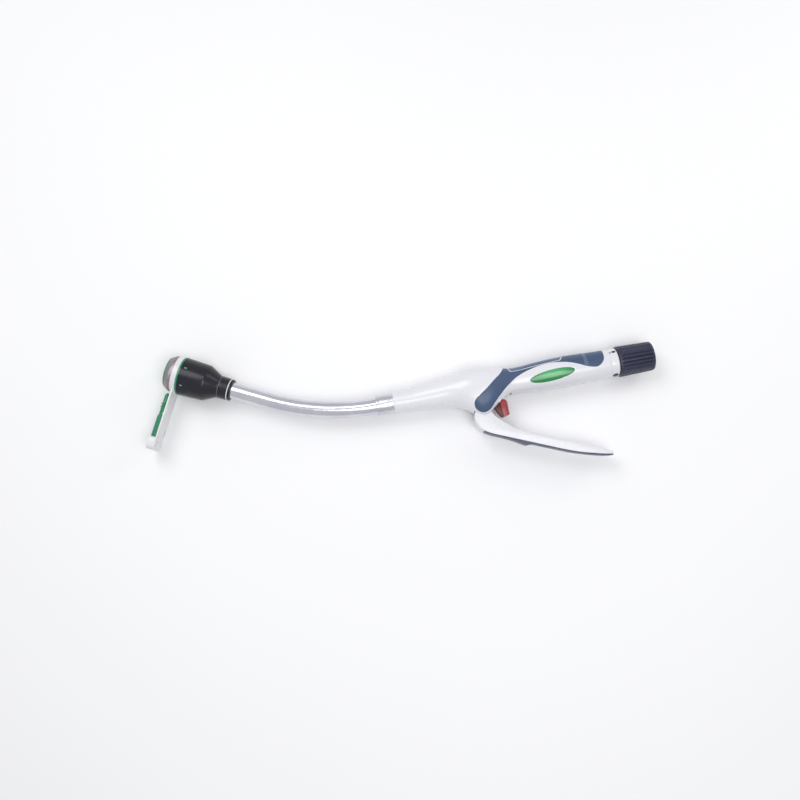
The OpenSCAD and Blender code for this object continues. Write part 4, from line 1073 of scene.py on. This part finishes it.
def swept_bend(bm, steps):
    """Takes flat faces through the bend of the shaft, and gives the faces at its end."""
    across = Matrix.Translation((BEND_START, 0, 0)) @ Matrix.Rotation(QUARTER, 4, "Y")
    bmesh.ops.transform(bm, matrix=across, verts=bm.verts)
    swept = bmesh.ops.spin(bm, geom=bm.faces[:], cent=(BEND_START, BEND_R, 0), axis=(0, 0, 1), dvec=(0, 0, 0),
                           angle=-BEND_ANGLE, steps=steps, use_merge=False, use_duplicate=False)
    return of_kind(swept["geom_last"], bmesh.types.BMFace)


def make_shaft():
    """Bent tube in one piece, the sleeve and rim at the nose, and the lock ring and washer at the head."""
    bm = bmesh.new()
    for radius in (TUBE_R, TUBE_BORE):
        bmesh.ops.create_circle(bm, cap_ends=False, radius=radius, segments=64)
    bmesh.ops.bridge_loops(bm, edges=bm.edges[:])
    end = swept_bend(bm, 64)
    grown = bmesh.ops.extrude_face_region(bm, geom=end)
    bmesh.ops.delete(bm, geom=end, context="FACES_ONLY")
    ahead = Vector((-math.cos(BEND_ANGLE), math.sin(BEND_ANGLE), 0))
    far = of_kind(grown["geom"], bmesh.types.BMVert)
    bmesh.ops.translate(bm, vec=ahead * TUBE_FRONT, verts=far)
    tube = piece_from(bm, "shaft_bent", HANDLE_PLANE, sharp=40)
    finish_piece(tube, "handle", "tube_silver", TUBE_SILVER, "shaft_tube")
    sleeve = turned("nose_sleeve", SLEEVE, along_handle(), steps=80, radius=0.1)
    finish_piece(sleeve, "handle", "sleeve_silver", SLEEVE_SILVER, "tube_sleeve")
    nose = turned("nose_rim", NOSE_RIM, along_handle(), steps=80, radius=0.1)
    finish_piece(nose, "handle", "shell_white", SHELL_WHITE)
    ring = turned("lock_band", LOCK_BAND, along_head(), steps=80, radius=0.25)
    finish_piece(ring, "handle", "head_black", LOCK_BLACK, "lock_ring")
    washer = turned("neck_washer", NECK_WASHER, along_head(), steps=80, radius=0.1)
    finish_piece(washer, "handle", "cap_white", CAP_WHITE)


# Tension band and return spring, inside

BAND_T, BAND_W, BAND_REAR, BAND_FRONT = 1.2, 5.0, 117.0, 21.7
BAND_EDGE, BEND_SLACK = 0.15, 0.2
SPRING_U, SPRING_L, SPRING_R, WIRE_R = 35.7, 31.3, 7.6, 0.65
SPRING_TURNS, TURN_STEPS, SPRING_KEEP = 7, 24, 0.83


def straight_band(name, start, end, place):
    """A straight stretch of the tension band along local X."""
    bm = box_of((end - start, BAND_T, BAND_W), ((start + end) / 2, 0, 0))
    bevel(bm, bm.edges[:], BAND_EDGE)
    return piece_from(bm, name, place)


def make_band():
    """Tension band in the shaft: its ends go with the screw and the trocar, its bend keeps to the tube."""
    rear = straight_band("band_rear", BEND_START, BAND_REAR, HANDLE_PLANE)
    finish_piece(rear, "screw", "spring_steel", SPRING_STEEL, "tension_band")
    front = straight_band("band_front", 0, BAND_FRONT, head_frame())
    finish_piece(front, "trocar", "spring_steel", SPRING_STEEL)
    bm = bmesh.new()
    bmesh.ops.create_grid(bm, x_segments=1, y_segments=1, size=0.5)
    bmesh.ops.scale(bm, vec=(BAND_W - BEND_SLACK, BAND_T - BEND_SLACK, 1), verts=bm.verts)
    swept_bend(bm, 32)
    bend = piece_from(bm, "band_bend", HANDLE_PLANE)
    finish_piece(bend, "handle", "spring_steel", SPRING_STEEL)


def make_spring():
    """Return spring round the push rod, at its rest length."""
    steps = SPRING_TURNS * TURN_STEPS
    rise = (SPRING_L - 2 * WIRE_R) / steps
    bm = bmesh.new()
    bmesh.ops.create_circle(bm, cap_ends=True, radius=WIRE_R, segments=10)
    start = Matrix.Translation((SPRING_R, 0, WIRE_R)) @ Matrix.Rotation(QUARTER, 4, "X")
    bmesh.ops.transform(bm, matrix=start, verts=bm.verts)
    bmesh.ops.spin(bm, geom=bm.faces[:], cent=(0, 0, 0), axis=(0, 0, 1), dvec=(0, 0, rise),
                   angle=2 * math.pi * SPRING_TURNS, steps=steps, use_merge=False, use_duplicate=False)
    spring = piece_from(bm, "spring_coil", along_handle(SPRING_U), sharp=50)
    finish_piece(spring, "handle", "spring_steel", SPRING_STEEL, "return_spring")
    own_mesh(spring)


# Head: profiles are pairs of a radius and a place in front of the bend

NECK_R, NECK_GROOVE_R, NECK_GROOVES = 9.5, 9.35, (36.6, 38.2, 39.8)
NECK_GROOVE = ((NECK_R, 0), (NECK_GROOVE_R, 0.2), (NECK_GROOVE_R, 0.5), (NECK_R, 0.7))
HEAD_NECK = [(7.05, 35.2), (9.1, 35.2), (9.5, 35.6)]
HEAD_NECK += [(r, t + rise) for t in NECK_GROOVES for r, rise in NECK_GROOVE]
HEAD_FLARE = [
    (9.5, 42.2), (9.3, 42.4), (9.3, 43.1), (9.5, 43.3), (9.55, 43.9), (9.85, 44.5), (15.0, 53.9),
    (15.4, 54.9), (15.72, 60), (16.38, 74.9)]
HEAD_INSIDE = [
    (16.38, 75.5), (15.12, 75.6), (15.05, 67), (14.42, 66.9), (14.42, 56.1), (6.4, 46.4), (6.3, 44.1),
    (7.05, 44)]
NECK_LINE = [(9.2, 42.5), (9.56, 42.5), (9.56, 42.95), (9.2, 42.95)]
LATCH = rounded([(-1.1, -0.5), (1.1, -0.5), (1.1, 0.5), (-1.1, 0.5)], 0.25)
LATCH_PLACE, LATCH_R, LATCH_ANGLES = 71.8, 16.3, (-22, 33, 147, 202)
ANVIL_DOME = smooth_line([(15.5, 84.2), (15.1, 85.2), (14.2, 86.7), (13.3, 87.95)], 5)
ANVIL_BACK = [
    (4.25, 83.62), (15.35, 83.62), (15.5, 83.9), *ANVIL_DOME, (12.4, 88.0), (12.4, 88.38), (4.25, 88.38)]
ANVIL_COVER = [(0, 88.42), (12.45, 88.42), (12.45, 88.05), *smooth_line([
    (13.25, 88.05), (13.15, 88.6), (12.5, 89.15), (11.2, 89.38), (6, 89.4), (0, 89.4)], 4)]


def make_head():
    """Black housing of the head: ringed neck, flare and barrel, hollow inside, with four latch spots."""
    # A lighter grey ring at the neck line: a painted highlight standing in for light on the groove edges.
    line = turned("neck_line", NECK_LINE, along_head(), radius=0.08)
    finish_piece(line, "handle", "inner_grey", NECK_HIGHLIGHT_GREY)
    outline = HEAD_NECK + HEAD_FLARE + HEAD_INSIDE
    shell = turned("head_housing", outline, along_head(), steps=128, radius=0.12, sharp=30)
    finish_piece(shell, "handle", "head_black", HEAD_BLACK, "head_shell")
    spots = [(LATCH, angle) for angle in LATCH_ANGLES]
    bent = round_marks(spots, LATCH_PLACE, LATCH_R, low=16.15, height=0.3, steps=(0.7, 0.5))
    latches = piece_from(bent, "head_latches", head_frame())
    finish_piece(latches, "handle", "cartridge_green", LATCH_GREEN)


def make_anvil():
    """Turned back of the anvil and its green cap."""
    back = turned("anvil_back", ANVIL_BACK, along_head(), steps=112, sharp=30)
    finish_piece(back, "anvil", "anvil_steel", ANVIL_STEEL, "anvil_head")
    cap = turned("anvil_cover", ANVIL_COVER, along_head(), sharp=40)
    finish_piece(cap, "anvil", "cartridge_green", CARTRIDGE_GREEN, "anvil_cap")


# Retaining cap and spare tip

CAP_RING = [
    (4.55, 77.15), (9.95, 77.15), (9.95, 80.1), (11.65, 80.1), (11.65, 77.15), (16.0, 77.15), (16.48, 77.6),
    (16.48, 81.4), (16.0, 81.85), (4.9, 81.85), (4.55, 81.5)]
CAP_SLOT = ((8, 40, 9.1), (79.5, -20, 0))
TAB = rounded([
    (10, -10), (64.4, -10), (66.9, -7.5), (66.9, 7.5), (64.4, 10), (10, 10), (14.5, 7), (14.5, -7)], 1.5)
TAB_SLOT_L, TAB_SLOT_W, TAB_SLOTS = 4.4, 2.4, ((29.5, 5.6), (48.5, -9), (58.6, 5.4))
TAB_END = rounded([(56.2, -9.8), (64.2, -9.8), (66.8, -7.3), (66.8, 7.3), (64.2, 9.8), (56.2, 9.8)], 1.2)
CLIP_REAR, CLIP_FRONT, CLIP_SIDES = 34.4, 36.0, ((-3.5, -2.25), (2.25, 3.5))
TIP_R, TIP_L = 3.05, 38.3
TIP_PLACE = (83.6 * MM, 17.4 * MM, 0)
TIP_SHARES = [
    (0, 0), (0.35, 0.003), (0.5, 0.02), (0.72, 0.06), (0.74, 0.235), (0.98, 0.25), (1.0, 0.262),
    (0.74, 0.272), (0.74, 0.3), (0.98, 0.315), (1.0, 0.33), (0.74, 0.34), (0.76, 0.5), (0.94, 0.53),
    (0.97, 0.56), (1.0, 0.97), (0.93, 1), (0, 1)]


def tab_parts():
    """The tab with its slots, its end block and its two clips, drawn flat."""
    slots = [[(u, z), (u, z + TAB_SLOT_W), (u + TAB_SLOT_L, z + TAB_SLOT_W), (u + TAB_SLOT_L, z)]
             for u, z in TAB_SLOTS]
    parts = [flat_plate(TAB, low=78.4, high=79.6, edge=0.25, segments=3, holes=slots),
             flat_plate(TAB_END, low=79.5, high=85.2, edge=0.9, segments=3)]
    for low, high in CLIP_SIDES:
        outline = [(CLIP_REAR, low), (CLIP_FRONT, low), (CLIP_FRONT, high), (CLIP_REAR, high)]
        parts.append(flat_plate(outline, low=79.4, high=82.2, edge=0.3))
    return parts


def make_cap():
    """Retaining cap: slotted ring, long tab, end block and two clips."""
    ring = turned("cap_with_tab", CAP_RING, along_head(), steps=112, radius=0.15)
    cut_with(ring, piece_from(box_of(*CAP_SLOT), "slot", head_frame()))
    bm = joined(tab_parts())
    upright = Matrix(((0, 0, 1, 0), (1, 0, 0, 0), (0, 1, 0, 0), (0, 0, 0, 1)))
    bmesh.ops.transform(bm, matrix=upright, verts=bm.verts)
    added = piece_from(bm, "added", head_frame())
    whole = bmesh.new()
    whole.from_mesh(ring.data)
    whole.from_mesh(added.data)
    whole.to_mesh(ring.data)
    whole.free()
    bpy.data.objects.remove(added)
    ring.data.shade_smooth()
    ring.data.set_sharp_from_angle(angle=math.radians(35))
    finish_piece(ring, "cap", "cap_white", CAP_WHITE, "retaining_cap")


def make_tip():
    """Spare trocar tip: point, thin stem with barbs and wide end."""
    profile = [(r * TIP_R, s * TIP_L) for r, s in TIP_SHARES]
    place = head_frame() @ Matrix.Translation(TIP_PLACE) @ Matrix.Rotation(-QUARTER, 4, "X")
    tip = turned("spare_tip", profile, place, steps=48, radius=0.12)
    finish_piece(tip, "tip", "tip_green", TIP_GREEN, "trocar_tip")


make_handle()
make_window()
make_lever()
make_catch()
make_knob()
make_collar()
make_shaft()
make_band()
make_spring()
make_head()
make_anvil()
make_cap()
make_tip()
